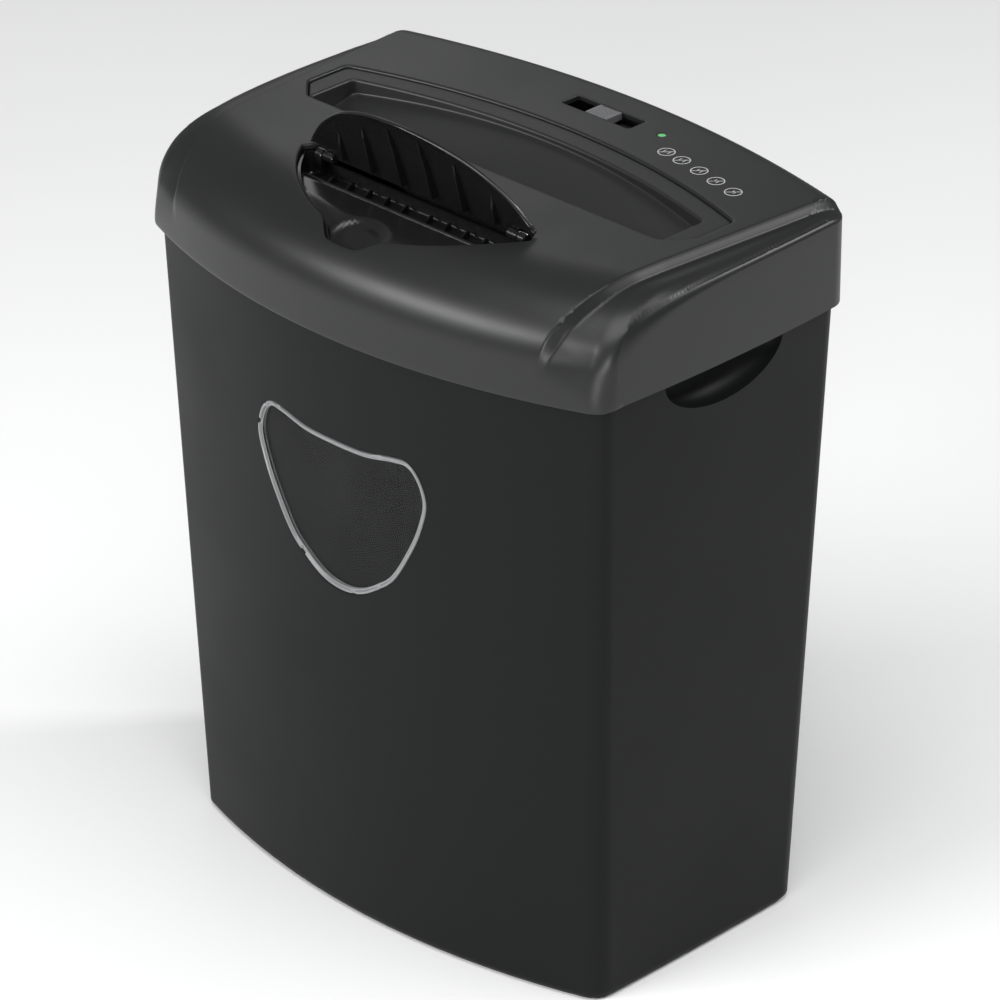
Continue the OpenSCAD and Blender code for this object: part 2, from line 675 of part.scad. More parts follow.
// The rim of a cutting disc climbs from hook to hook and drops sharply after each.
module disc_rim() {
    steps = 12;
    low = disc_r - 2;
    turn = 360 / hooks;
    polygon([for (k = [0:hooks - 1], i = [0:steps])
        let (r = low + (disc_r - low) * i / steps, a = turn * (k + (i == steps ? 0.98 : i / steps)))
        r * [cos(a), sin(a)]]);
}
// A stack of discs with spacer hubs on one hexagonal shaft; the two stacks interleave.
module cutter_stack(y, first_x, lean) {
    for (i = [0:disc_count - 1])
        along_x(first_x + i * disc_pitch, y, shaft_z) difference() {
            union() {
                rotate(lean * i) linear_extrude(disc_t) disc_rim();
                cylinder(h = disc_pitch - 0.1, r = hub_r, $fn = smooth);
            }
            translate([0, 0, -1]) cylinder(h = disc_pitch + 2, r = hex_r + 0.1, $fn = 6);
        }
}
stack_x = -disc_count * disc_pitch / 2;
module front_cutters() color("#6f7275") cutter_stack(front_shaft_y, stack_x - disc_pitch / 4, 13);
module rear_cutters() color("#6f7275") cutter_stack(rear_shaft_y, stack_x + disc_pitch / 4, -13);
// Stripper comb: a bar along the stack with a finger over each spacer hub.
module comb(y, side, first_x) {
    reach = y + side * (hub_r + 1);
    bar = y + side * (disc_r + 2);
    back = bar + side * 5;
    block([-guide_half, min(bar, back), shaft_z - 8], [guide_half, max(bar, back), shaft_z + 8]);
    gap = disc_pitch - disc_t;
    for (i = [0:disc_count - 1]) {
        x = first_x + i * disc_pitch + disc_t;
        block(
            [x + 0.5, min(reach, bar) - 0.1, shaft_z - 4],
            [x + gap - 0.5, max(reach, bar) + 0.1, shaft_z + 4]
        );
    }
}
module front_comb() color("#c9c3b4") comb(front_shaft_y, -1, stack_x - disc_pitch / 4);
module rear_comb() color("#c9c3b4") comb(rear_shaft_y, 1, stack_x + disc_pitch / 4);

// ---------------------------------------------------------------- gears

pressure = 20;
function involute(rb, r) = let (a = acos(min(1, rb / r))) tan(a) * 180 / PI - a;
// Half the angle a tooth fills at radius r, with a little backlash.
function tooth_half(m, n, r, play) =
    let (rp = m * n / 2, rb = rp * cos(pressure))
    90 / n - play / rp * 57.3 + involute(rb, rp) - involute(rb, max(rb, r));
module gear_plan(m, n, turn) {
    rp = m * n / 2;
    rb = rp * cos(pressure);
    root = rp - 1.2 * m;
    tip = rp + 0.85 * m;
    low = max(root, rb);
    radii = [root, low, mix(low, tip, 0.5), tip];
    polygon([for (k = [0:n - 1], i = [0:7])
        let (j = i < 4 ? i : 7 - i, side = i < 4 ? -1 : 1, r = radii[j],
            a = turn + k * 360 / n + side * tooth_half(m, n, r, 0.05 * m))
        r * [cos(a), sin(a)]]);
}
module gear_x(x0, x1, at, m, n, turn) along_x(x0, at.x, at.y) linear_extrude(x1 - x0) gear_plan(m, n, turn);
// The turn that puts a gear of n2 teeth in mesh with one of n1 teeth at turn t1, seen along angle phi.
function mesh_turn(t1, n1, phi, n2) = phi + 180 + (180 - (t1 - phi) * n1) / n2;
function gear_reach(m, n1, n2) = m * (n1 + n2) / 2;

sync_teeth = 28;
sync_m = shaft_gap / sync_teeth;
layer_a0 = frame_half_w + plate_t + 1;
layer_a1 = layer_a0 + 5.8;
layer_b0 = layer_a1 + 0.3;
layer_b1 = layer_b0 + 4.2;
sync_x0 = layer_a0;
sync_x1 = layer_a0 + 6;
drive_m = 1.25;
drive_teeth = 54;
pinion_teeth = 12;
middle_teeth = 54;
first_m = 0.8;
first_teeth = 48;
motor_teeth = 10;
gear_pin_r = 3;
middle_phi = 15;
first_phi = -38;
motor_phi = 100;
rear_at = [rear_shaft_y, shaft_z];
middle_at = rear_at + gear_reach(drive_m, drive_teeth, pinion_teeth) * [cos(middle_phi), sin(middle_phi)];
first_at = middle_at + gear_reach(1, middle_teeth, pinion_teeth) * [cos(first_phi), sin(first_phi)];
motor_at = first_at + gear_reach(first_m, first_teeth, motor_teeth) * [cos(motor_phi), sin(motor_phi)];
middle_turn = mesh_turn(0, drive_teeth, middle_phi, pinion_teeth);
first_turn = mesh_turn(middle_turn, middle_teeth, first_phi, pinion_teeth);
motor_turn = mesh_turn(first_turn, first_teeth, motor_phi, motor_teeth);

module sync_gear(y, turn) difference() {
    mirror([1, 0, 0]) gear_x(sync_x0, sync_x1, [y, shaft_z], sync_m, sync_teeth, turn);
    rod_x(-200, 0, y, shaft_z, journal_r + 0.03);
}
module front_sync_gear() color("#d8d4c8") sync_gear(front_shaft_y, 0);
module rear_sync_gear() color("#d8d4c8") sync_gear(rear_shaft_y, 180 / sync_teeth);
module drive_gear() color("#d8d4c8") difference() {
    gear_x(layer_a0, layer_a1, rear_at, drive_m, drive_teeth, 0);
    rod_x(0, 200, rear_at.x, rear_at.y, journal_r + 0.03);
    for (a = [0:60:300]) rod_x(0, 200, rear_at.x + 20 * cos(a), rear_at.y + 20 * sin(a), 6);
}
module middle_gear() color("#d8d4c8") difference() {
    union() {
        gear_x(layer_a0, layer_b0, middle_at, drive_m, pinion_teeth, middle_turn);
        gear_x(layer_b0, layer_b1, middle_at, 1, middle_teeth, middle_turn);
    }
    rod_x(0, 200, middle_at.x, middle_at.y, gear_pin_r + run_gap);
}
module first_gear() color("#d8d4c8") difference() {
    union() {
        gear_x(layer_a0, layer_a1 - 0.4, first_at, first_m, first_teeth, first_turn);
        gear_x(layer_a1 - 0.4, layer_b1, first_at, 1, pinion_teeth, first_turn);
    }
    rod_x(0, 200, first_at.x, first_at.y, gear_pin_r + run_gap);
}
clip_x = layer_b1 + 0.2;
module gear_pins() color("#a5a8ab") for (p = [middle_at, first_at]) difference() {
    union() {
        rod_x(frame_half_w + 0.1, clip_x + 1.4, p.x, p.y, gear_pin_r);
        rod_x(frame_half_w + plate_t + 0.1, frame_half_w + plate_t + 0.8, p.x, p.y, gear_pin_r + 1.2);
    }
    difference() {
        rod_x(clip_x, clip_x + 0.8, p.x, p.y, gear_pin_r + 1);
        rod_x(clip_x - 1, clip_x + 2, p.x, p.y, gear_pin_r - 0.6);
    }
}
module pin_clips() color("#6d6f72") for (p = [middle_at, first_at]) difference() {
    rod_x(clip_x + 0.05, clip_x + 0.75, p.x, p.y, gear_pin_r + 2);
    rod_x(clip_x - 1, clip_x + 2, p.x, p.y, gear_pin_r - 0.5);
    block([clip_x - 1, p.x - gear_pin_r + 0.5, p.y - 9], [clip_x + 2, p.x + gear_pin_r - 0.5, p.y]);
}

// ---------------------------------------------------------------- motor

can_wall = 1.6;
can_x1 = frame_half_w - seat_gap;
can_x0 = can_x1 - can_l;
core_r = 14;
module at_motor(x0, x1, r) rod_x(x0, x1, motor_at.x, motor_at.y, r);
module motor_can() color("#8f9295") difference() {
    at_motor(can_x0, can_x1, can_r);
    at_motor(can_x0 - 1, can_x1 - 2, can_r - can_wall);
    at_motor(0, 200, motor_shaft_r + run_gap);
    for (s = [-1, 1]) rod_x(0, 200, motor_at.x + s * 13, motor_at.y, 1.3);
}
module motor_end_cap() color("#202122") difference() {
    union() {
        at_motor(can_x0 - 3.3, can_x0 - 0.2, can_r);
        at_motor(can_x0 - 0.5, can_x0 + 3, can_r - can_wall - 0.2);
        at_motor(can_x0 - 7, can_x0, 6);
    }
    at_motor(0, 200, motor_shaft_r + run_gap);
    at_motor(can_x0, can_x0 + 4, can_r - can_wall - 2);
}
module motor_magnets() color("#4a4b4d") for (s = [-1, 1]) intersection() {
    difference() {
        at_motor(can_x0 + 14, can_x1 - 8, can_r - can_wall - 0.2);
        at_motor(0, 200, core_r + 1);
    }
    translate([0, motor_at.x, motor_at.y]) block([0, -12, s > 0 ? 3 : -30], [200, 12, s > 0 ? 30 : -3]);
}
module motor_armature() color("#a0622d") {
    at_motor(can_x0 - 6, layer_a1 - 0.2, motor_shaft_r);
    slots = 9;
    along_x(can_x0 + 16, motor_at.x, motor_at.y) linear_extrude(can_l - 28) difference() {
        circle(core_r, $fn = smooth);
        for (k = [0:slots - 1]) rotate(k * 360 / slots) translate([core_r - 5, -1.2]) square([6, 2.4]);
    }
    at_motor(can_x0 + 6, can_x0 + 13, 8);
}
module motor_pinion() color("#c2a15a") difference() {
    gear_x(layer_a0, layer_a1 - 0.6, motor_at, first_m, motor_teeth, motor_turn);
    at_motor(0, 200, motor_shaft_r + 0.02);
}
module motor_brushes() color("#3b3b3c") for (s = [-1, 1])
    translate([0, motor_at.x, motor_at.y + s * 8.3 + (s < 0 ? -9 : 0)])
        block([can_x0 + 7, -3, 0], [can_x0 + 12, 3, 9]);
module motor_screws() color("#a5a8ab") for (s = [-1, 1]) {
    rod_x(can_x1 - 4, frame_half_w + plate_t + 0.5, motor_at.x + s * 13, motor_at.y, 1.2);
    rod_x(frame_half_w + plate_t + 0.1, frame_half_w + plate_t + 0.9, motor_at.x + s * 13, motor_at.y, 2.8);
}
module thermal_cutout() color("#b7b09a")
    block(
        [can_x0 + 20, motor_at.x - 5, motor_at.y + can_r + 0.2],
        [can_x0 + 38, motor_at.x + 5, motor_at.y + can_r + 5]
    );

// ---------------------------------------------------------------- electrics

board_z = tub_z + 16;
board_low = [-104, 26];
board_high = [-14, 76];
board_t = 1.6;
board_screw_places = [
    for (x = [board_low.x + 5, board_high.x - 5], y = [board_low.y + 5, board_high.y - 5]) [x, y]
];
module control_board() color("#2f6b45") difference() {
    block([board_low.x, board_low.y, board_z], [board_high.x, board_high.y, board_z + board_t]);
    for (p = board_screw_places) rod_z(p.x, p.y, board_z - 1, board_z + 5, 1.6);
}
module board_parts() color("#3c4f8a") {
    seat = board_z + board_t + 0.1;
    block([-92, 34, seat], [-72, 50, seat + 15]);
    block([-92, 56, seat], [-64, 70, seat + 18]);
    rod_z(-56, 42, seat, seat + 20, 6);
    rod_z(-42, 42, seat, seat + 14, 5);
    block([-54, 56, seat], [-40, 68, seat + 10]);
    block([-32, 44, seat], [-24, 64, seat + 11]);
}
module board_screws() color("#a5a8ab") for (p = board_screw_places) {
    rod_z(p.x, p.y, board_z - 8, board_z + board_t + 0.5, 1.1);
    rod_z(p.x, p.y, board_z + board_t + 0.1, board_z + board_t + 1.6, 2.4);
}
module housing_screws() color("#a5a8ab") for (p = boss_places) {
    rod_z(p.x, p.y, flange_z - 1, flange_z + 18, 1.4);
    rod_z(p.x, p.y, flange_z - 2.3, flange_z - 0.1, 3.2);
}
module frame_screws() color("#a5a8ab") for (p = frame_screw_places) {
    rod_z(p.x, p.y, tub_z - 1, plate_low_z + plate_t + 1.5, 1.3);
    rod_z(p.x, p.y, tub_z - 2.2, tub_z - 0.1, 3.2);
}
module paper_sensor() color("#151516") {
    base = [rear_shaft_y + 12.3, guide_outer_z + 3];
    block([-5, base.x, base.y], [5, base.x + 6, base.y + 6]);
}
plunger_x = -139;
plunger_y = 62;
plunger_r = 2.5;
rib_top_z = rim_z - 4;
module interlock_plunger() color("#c4472f") {
    rod_z(plunger_x, plunger_y, rib_top_z + seat_gap, flange_z + 12, plunger_r);
    collar_z = flange_z + flange_t + plunger_travel + 0.4;
    rod_z(plunger_x, plunger_y, collar_z, collar_z + 1.5, plunger_r + 1.5);
}
module interlock_switch() color("#161617") difference() {
    low = flange_z + flange_t + plunger_travel + 2.4;
    block([plunger_x - 5, plunger_y - 10, low], [plunger_x + 6, plunger_y + 10, low + 12]);
    rod_z(plunger_x, plunger_y, low - 1, low + 8, plunger_r + run_gap);
}

// A lead along points chosen by hand, as a tube of eight sides.
function unit(v) = v / norm(v);
function lead_axis(p, i) = unit(p[min(i + 1, len(p) - 1)] - p[max(i - 1, 0)]);
function lead_curve(p, steps) = [
    for (i = [0:len(p) - 2], t = [0:steps - 1])
        let (a = p[max(i - 1, 0)], b = p[i], c = p[i + 1], d = p[min(i + 2, len(p) - 1)], s = t / steps)
        b + 0.5 * s * ((c - a) + s * (2 * a - 5 * b + 4 * c - d) + s * s * (3 * b - a - 3 * c + d)),
    p[len(p) - 1]];
module lead(route, r) {
    p = lead_curve(route, 3);
    rings = [for (i = [0:len(p) - 1])
        let (t = lead_axis(p, i), u = unit(cross(t, [0.3, 1, 0.2])), v = cross(t, u))
        [for (k = [0:7]) p[i] + r * (u * cos(45 * k) + v * sin(45 * k))]];
    loft(rings);
}
motor_route = [
    [-23.6, 57, 309], [-18, 57, 310], [-5, 56, 316], [10, 54, 326], [22, 54, 337], [32, 54, 348],
    [42, 53, 352],
];
switch_route = [[-28, 54, 313], [-28, 56, 322], [-24, 62, 334], [-14, 70, 345], [-10, 80, 351]];
module motor_leads() color("#a02822") for (y = [0, 4]) translate([0, y, 0]) lead(motor_route, 1);
module switch_leads() color("#7a4a22") lead(switch_route, 1);

bin();
bin_window();
upper_housing();
lower_housing();
paper_chute();
disc_chute();
disc_flap();
switch_knob();
switch_body();
status_led();
cord_inlet();
left_plate();
right_plate();
tie_rods();
shaft_bushes();
front_shaft();
rear_shaft();
front_cutters();
rear_cutters();
front_comb();
rear_comb();
front_sync_gear();
rear_sync_gear();
drive_gear();
middle_gear();
first_gear();
gear_pins();
pin_clips();
motor_can();
motor_end_cap();
motor_magnets();
motor_armature();
motor_pinion();
motor_brushes();
motor_screws();
thermal_cutout();
control_board();
board_parts();
board_screws();
housing_screws();
frame_screws();
paper_sensor();
interlock_plunger();
interlock_switch();
motor_leads();
switch_leads();
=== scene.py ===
import math

import bpy
import numpy as np
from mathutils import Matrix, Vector
from mathutils.bvhtree import BVHTree
from mathutils.geometry import delaunay_2d_cdt


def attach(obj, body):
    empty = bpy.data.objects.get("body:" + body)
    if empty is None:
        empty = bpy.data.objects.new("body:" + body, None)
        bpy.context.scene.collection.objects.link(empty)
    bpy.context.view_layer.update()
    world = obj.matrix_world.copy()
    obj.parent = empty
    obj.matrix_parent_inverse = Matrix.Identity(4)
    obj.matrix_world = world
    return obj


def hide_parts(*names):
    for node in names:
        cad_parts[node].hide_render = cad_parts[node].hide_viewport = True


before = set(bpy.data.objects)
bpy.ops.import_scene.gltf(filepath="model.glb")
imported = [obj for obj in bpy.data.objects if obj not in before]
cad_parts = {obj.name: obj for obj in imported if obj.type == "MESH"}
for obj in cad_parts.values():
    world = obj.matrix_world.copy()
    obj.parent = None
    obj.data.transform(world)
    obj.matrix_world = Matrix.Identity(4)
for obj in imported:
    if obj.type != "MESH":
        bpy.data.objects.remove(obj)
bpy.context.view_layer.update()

# ---------------------------------------------------------------- studio
# A long lens, a plain pale floor and soft light: one broad panel overhead, a long strip for the
# head's rounded front, a small one behind for its end edges, and low fills for the corner and floor.
MM = 0.001
AIM = Vector((-0.037969, 0.048041, 0.165519))
TURN, RISE, AWAY, LENS = math.radians(44.426), math.radians(27.777), 3.013, 219.575

camera = bpy.data.objects.new("camera", bpy.data.cameras.new("camera"))
bpy.context.scene.collection.objects.link(camera)
toward = Vector((math.sin(TURN) * math.cos(RISE), -math.cos(TURN) * math.cos(RISE), math.sin(RISE)))
camera.location = AIM + toward * AWAY
camera.rotation_mode = "QUATERNION"
camera.rotation_quaternion = toward.to_track_quat("Z", "Y")
camera.data.lens = LENS
camera.data.sensor_width = 36
camera.data.clip_end = 30
bpy.context.scene.camera = camera


def soft_panel(name, place, aim, width, height, watts):
    panel = bpy.data.objects.new(name, bpy.data.lights.new(name, "AREA"))
    bpy.context.scene.collection.objects.link(panel)
    panel.data.shape = "RECTANGLE"
    panel.data.size, panel.data.size_y, panel.data.energy = width, height, watts
    panel.location = place
    panel.rotation_mode = "QUATERNION"
    panel.rotation_quaternion = (Vector(place) - Vector(aim)).to_track_quat("Z", "Y")
    return panel


soft_panel("light_overhead", (0.5, -0.7, 2.3), (0, 0, 0.2), 1.6, 1.6, 34)
soft_panel("light_nose", (-0.7, -1.95, 1.3), (0, -0.05, 0.36), 1.5, 0.4, 38)
soft_panel("light_top_sheen", (-1.35, 1.15, 1.25), (-0.05, -0.05, 0.37), 0.6, 0.4, 1.0)
soft_panel("light_panel_edge", (1.3, 1.9, 2.0), (0.15, 0, 0.35), 0.35, 0.25, 24)
soft_panel("light_corner", (1.8, -1.9, 0.35), (0.14, -0.07, 0.2), 0.35, 0.6, 18)
soft_panel("light_floor", (1.6, 0.6, 2.2), (0.9, -0.9, 0), 1.4, 1.4, 14)

world = bpy.data.worlds.new("studio")
bpy.context.scene.world = world
world.use_nodes = True
world.node_tree.nodes["Background"].inputs["Color"].default_value = (0.93, 0.94, 0.95, 1)
world.node_tree.nodes["Background"].inputs["Strength"].default_value = 0.2
bpy.context.scene.view_settings.view_transform = "Standard"


def new_object(name, points, faces, sharp_deg=40):
    mesh = bpy.data.meshes.new(name)
    mesh.from_pydata([tuple(p) for p in points], [], [tuple(int(i) for i in f) for f in faces])
    mesh.validate()
    mesh.polygons.foreach_set("use_smooth", [True] * len(mesh.polygons))
    mesh.set_sharp_from_angle(angle=math.radians(sharp_deg))
    thing = bpy.data.objects.new(name, mesh)
    bpy.context.scene.collection.objects.link(thing)
    return thing


def new_material(name):
    paint = bpy.data.materials.new(name)
    paint.use_nodes = True
    tree = paint.node_tree
    return paint, tree, tree.nodes["Principled BSDF"]


def node(tree, kind, sockets=(), **settings):
    made = tree.nodes.new(kind)
    for key, value in settings.items():
        setattr(made, key, value)
    for key, value in dict(sockets).items():
        made.inputs[key].default_value = value
    return made


def shade_between(tree, source, dark, light):
    made = node(tree, "ShaderNodeMix", data_type="RGBA")
    made.inputs[6].default_value = (*dark, 1)
    made.inputs[7].default_value = (*light, 1)
    tree.links.new(source, made.inputs[0])
    return made.outputs[2]


def dress(thing, paint):
    thing.data.materials.clear()
    thing.data.materials.append(paint)


# The floor: one broad pale sheet, matte, with a barely visible unevenness.
def pale_floor():
    paint, tree, skin = new_material("floor_white")
    place = node(tree, "ShaderNodeTexCoord").outputs["Object"]
    cloud = node(tree, "ShaderNodeTexNoise", {"Scale": 3, "Detail": 3})
    tree.links.new(place, cloud.inputs["Vector"])
    tone = shade_between(tree, cloud.outputs["Fac"], (0.86, 0.86, 0.86), (0.9, 0.9, 0.9))
    tree.links.new(tone, skin.inputs["Base Color"])
    skin.inputs["Roughness"].default_value = 0.75
    return paint


FLOOR_HALF = 9
floor_corners = [(x * FLOOR_HALF, y * FLOOR_HALF, 0) for x, y in ((-1, -1), (1, -1), (1, 1), (-1, 1))]
floor = new_object("floor", floor_corners, [(0, 1, 2, 3)])
dress(floor, pale_floor())

# ---------------------------------------------------------------- waste bin
# The bin: one deep moulding in matte black polypropylene, bowed in front and behind, tapered to
# the floor, with a window cut in the front and a hand scoop pressed into each end under the rim.
HEAD_W, HEAD_D, TOP, SEAM, RIM = 306, 217, 377, 324, 330
BIN_WALL, BIN_FLOOR, BIN_STEP, BIN_FOOT = 2.4, 3.0, 3.1, 3
# A plan: its width, depth, middle, the bows of its front, rear and ends, and its corners' radius.
HEAD_PLAN = (HEAD_W, HEAD_D, 0, 31, 21, 3, 14)
BIN_TOP_PLAN = (HEAD_W - 2 * BIN_STEP, HEAD_D - 2 * BIN_STEP, 0, 31, 21, 3, 14 - BIN_STEP)
BIN_BASE_PLAN = (276, 179, 2.5, 24, 16, 1, 13)
# How many points go on a plan's front, front corner, end, rear corner and rear.
BIN_COUNTS = (120, 20, 50, 20, 90)


def arc_radius(half, bow):
    return (half * half + bow * bow) / (2 * bow)


def circles_meet(a, ra, b, rb):
    a, b = np.array(a, float), np.array(b, float)
    d = np.linalg.norm(b - a)
    u = (b - a) / d
    m = (ra * ra - rb * rb + d * d) / (2 * d)
    return a + u * m + np.array([-u[1], u[0]]) * math.sqrt(max(ra * ra - m * m, 0))


def arc_points(centre, r, a0, a1, n):
    angles = a0 + (a1 - a0) * np.arange(n) / n
    return np.array(centre) + r * np.stack([np.cos(angles), np.sin(angles)], 1)


def plan_points(plan, inset, counts=BIN_COUNTS):
    """The outline in plan: four large arcs joined by corner arcs, counter-clockwise from front left."""
    w, d, mid, bow_f, bow_r, bow_s, corner = plan
    hw, yf, yr = w / 2, mid - d / 2, mid + d / 2
    rf, rr = arc_radius(hw - bow_s, bow_f), arc_radius(hw - bow_s, bow_r)
    rs = arc_radius((yr - bow_r - yf - bow_f) / 2, bow_s)
    cf, cr = np.array([0, yf + rf]), np.array([0, yr - rr])
    cs = np.array([hw - rs, (yf + bow_f + yr - bow_r) / 2])
    pf = circles_meet(cf, rf - corner, cs, rs - corner)
    pr = circles_meet(cs, rs - corner, cr, rr - corner)
    a1, a2, a3, a4 = [math.atan2(v[1], v[0]) for v in (pf - cf, pf - cs, pr - cs, pr - cr)]
    flip, half = np.array([-1, 1]), math.pi
    ri = corner - inset
    nf, nc, ns, _, nr = counts
    return np.concatenate([
        arc_points(cf, rf - inset, -half - a1, a1, nf), arc_points(pf, ri, a1, a2, nc),
        arc_points(cs, rs - inset, a2, a3, ns), arc_points(pr, ri, a3, a4, nc),
        arc_points(cr, rr - inset, a4, half - a4, nr), arc_points(pr * flip, ri, half - a4, half - a3, nc),
        arc_points(cs * flip, rs - inset, half - a3, half - a2, ns),
        arc_points(pf * flip, ri, half - a2, half - a1, nc)])


def blend(a, b, k):
    return a + (b - a) * k


def ease(t):
    t = np.clip(t, 0, 1)
    return t * t * (3 - 2 * t)


def bin_plan(z):
    return tuple(blend(a, b, z / RIM) for a, b in zip(BIN_BASE_PLAN, BIN_TOP_PLAN))


def face_normals(points, faces):
    """Smooth normals at the points of a mesh of triangles and quads."""
    normals = np.zeros_like(points)
    for f in faces:
        p = points[list(f)]
        n = np.cross(p[1] - p[0], p[2] - p[0])
        if len(f) == 4:
            n += np.cross(p[2] - p[0], p[3] - p[0])
        for i in f:
            normals[i] += n
    return normals / np.maximum(np.linalg.norm(normals, axis=1, keepdims=True), 1e-12)


def shell_parts(outer, faces, inner):
    """A closed shell: outer skin, inner skin and walls round every open edge."""
    n = len(outer)
    directed = dict.fromkeys((a, b) for f in faces for a, b in zip(f, f[1:] + f[:1]))
    rims = [(b, a, a + n, b + n) for a, b in directed if (b, a) not in directed]
    inside = [tuple(i + n for i in reversed(f)) for f in faces]
    return np.concatenate([outer, inner]), [*faces, *inside, *rims]


def join_meshes(name, parts, sharp_deg=38):
    """One object out of several (points in mm, faces) parts."""
    points, faces, start = [], [], 0
    for p, f in parts:
        points.append(np.asarray(p, float))
        faces += [tuple(int(i) + start for i in face) for face in f]
        start += len(p)
    return new_object(name, np.concatenate(points) * MM, faces, sharp_deg)


def ring_faces(n, rings):
    """Faces between rings of n points that lie one after another."""
    return [(k * n + i, k * n + (i + 1) % n, (k + 1) * n + (i + 1) % n, (k + 1) * n + i)
            for k in range(rings - 1) for i in range(n)]


def fill(flat, rows, keep, snug=1e-5):
    """Triangles over flat points, kept where the test on their middles says so; rows stay edges."""
    edges = [(a, b) for row in rows for a, b in zip(row, row[1:])]
    _, _, tris, origin, _, _ = delaunay_2d_cdt([Vector(p) for p in flat], edges, [], 0, snug)
    tris = [[origin[i][0] if origin[i] else -1 for i in t] for t in tris]
    tris = np.array([t for t in tris if min(t) >= 0 and len(t) == 3])
    a, b, c = flat[tris[:, 0]], flat[tris[:, 1]], flat[tris[:, 2]]
    turn = (b - a)[:, 0] * (c - a)[:, 1] - (b - a)[:, 1] * (c - a)[:, 0]
    tris[turn < 0] = tris[turn < 0][:, ::-1]
    wanted = keep((a + b + c) / 3) & (np.abs(turn) > 1e-7)
    return [tuple(int(i) for i in t) for t in tris[wanted]]


def in_loop(loop, points):
    """Which of the flat points lie within a closed loop."""
    made = np.zeros(len(points), bool)
    for (x0, y0), (x1, y1) in zip(loop, np.roll(loop, -1, 0)):
        crosses = (y0 > points[:, 1]) != (y1 > points[:, 1])
        made ^= crosses & (points[:, 0] < (x1 - x0) * (points[:, 1] - y0) / (y1 - y0 + 1e-12) + x0)
    return made


def grid_of(xs, ys):
    gx, gy = np.meshgrid(xs, ys)
    return np.stack([gx.ravel(), gy.ravel()], 1)


def swell(loop, by):
    """A closed loop, counter-clockwise, moved outward by a distance."""
    before, after = np.roll(loop, 1, 0), np.roll(loop, -1, 0)
    t0, t1 = loop - before, after - loop
    t0 /= np.linalg.norm(t0, axis=1, keepdims=True)
    t1 /= np.linalg.norm(t1, axis=1, keepdims=True)
    n0, n1 = np.stack([t0[:, 1], -t0[:, 0]], 1), np.stack([t1[:, 1], -t1[:, 0]], 1)
    n = n0 + n1
    n /= np.linalg.norm(n, axis=1, keepdims=True)
    return loop + n * by / np.maximum((n * n0).sum(1, keepdims=True), 0.5)


def even_loop(corners, step):
    """Points about a step apart round a closed loop of corners, keeping each corner."""
    made = []
    for a, b in zip(corners, np.roll(corners, -1, 0)):
        n = max(1, int(round(np.linalg.norm(b - a) / step)))
        made += [a + (b - a) * i / n for i in range(n)]
    return np.array(made)


def away_from(points, loops, gap):
    """The points that keep a distance from every line of points given."""
    lines = np.concatenate(loops)
    return np.array([p for p in points if ((lines - p) ** 2).sum(1).min() > gap * gap])


class Sheet:
    """Flat points with a value each, gathered part by part before they are joined."""

    def __init__(self):
        self.parts, self.values, self.rows, self.count = [], [], [], 0

    def add(self, points, value=0.0, chain=""):
        points = np.asarray(points, float)
        ids = list(range(self.count, self.count + len(points)))
        self.parts.append(points)
        self.values.append(np.broadcast_to(value, len(points)).astype(float))
        if chain:
            self.rows.append(ids + (ids[:1] if chain == "loop" else []))
        self.count += len(points)
        return ids

    def gathered(self):
        return np.concatenate(self.parts), np.concatenate(self.values)


# The window's outline: two round shoulders, a shallow dip between them and a round toe.
WINDOW_W, WINDOW_H, WINDOW_Z = 113, 86, 229
WINDOW_HALF = [(0, -0.5), (0.11, -0.475), (0.215, -0.395), (0.315, -0.28), (0.42, -0.05), (0.475, 0.12),
               (0.50, 0.27), (0.47, 0.41), (0.41, 0.49), (0.32, 0.49), (0.17, 0.455), (0, 0.45)]


def window_outline(per_span=10):
    loop = np.array(WINDOW_HALF + [(-x, y) for x, y in WINDOW_HALF[-2:0:-1]])
    a, b, c, d = np.roll(loop, 1, 0), loop, np.roll(loop, -1, 0), np.roll(loop, -2, 0)
    made = []
    for t in np.arange(per_span) / per_span:
        made.append(0.5 * (2 * b + (c - a) * t + (2 * a - 5 * b + 4 * c - d) * t * t
                           + (3 * b - a - 3 * c + d) * t ** 3))
    return np.stack(made, 1).reshape(-1, 2) * (WINDOW_W, WINDOW_H) + (0, WINDOW_Z)


def front_place(x, z, proud=0.0):
    """A point on the bin's bowed front at a given x and height."""
    w, d, mid, bow, _, side, _ = bin_plan(z)
    r = arc_radius(w / 2 - side, bow)
    return np.stack([x, mid - d / 2 + r - np.sqrt((r + proud) ** 2 - x * x), z + 0 * x], -1)


SCOOP_Y, SCOOP_HALF, SCOOP_H, SCOOP_IN = 5, 40, 21, 15


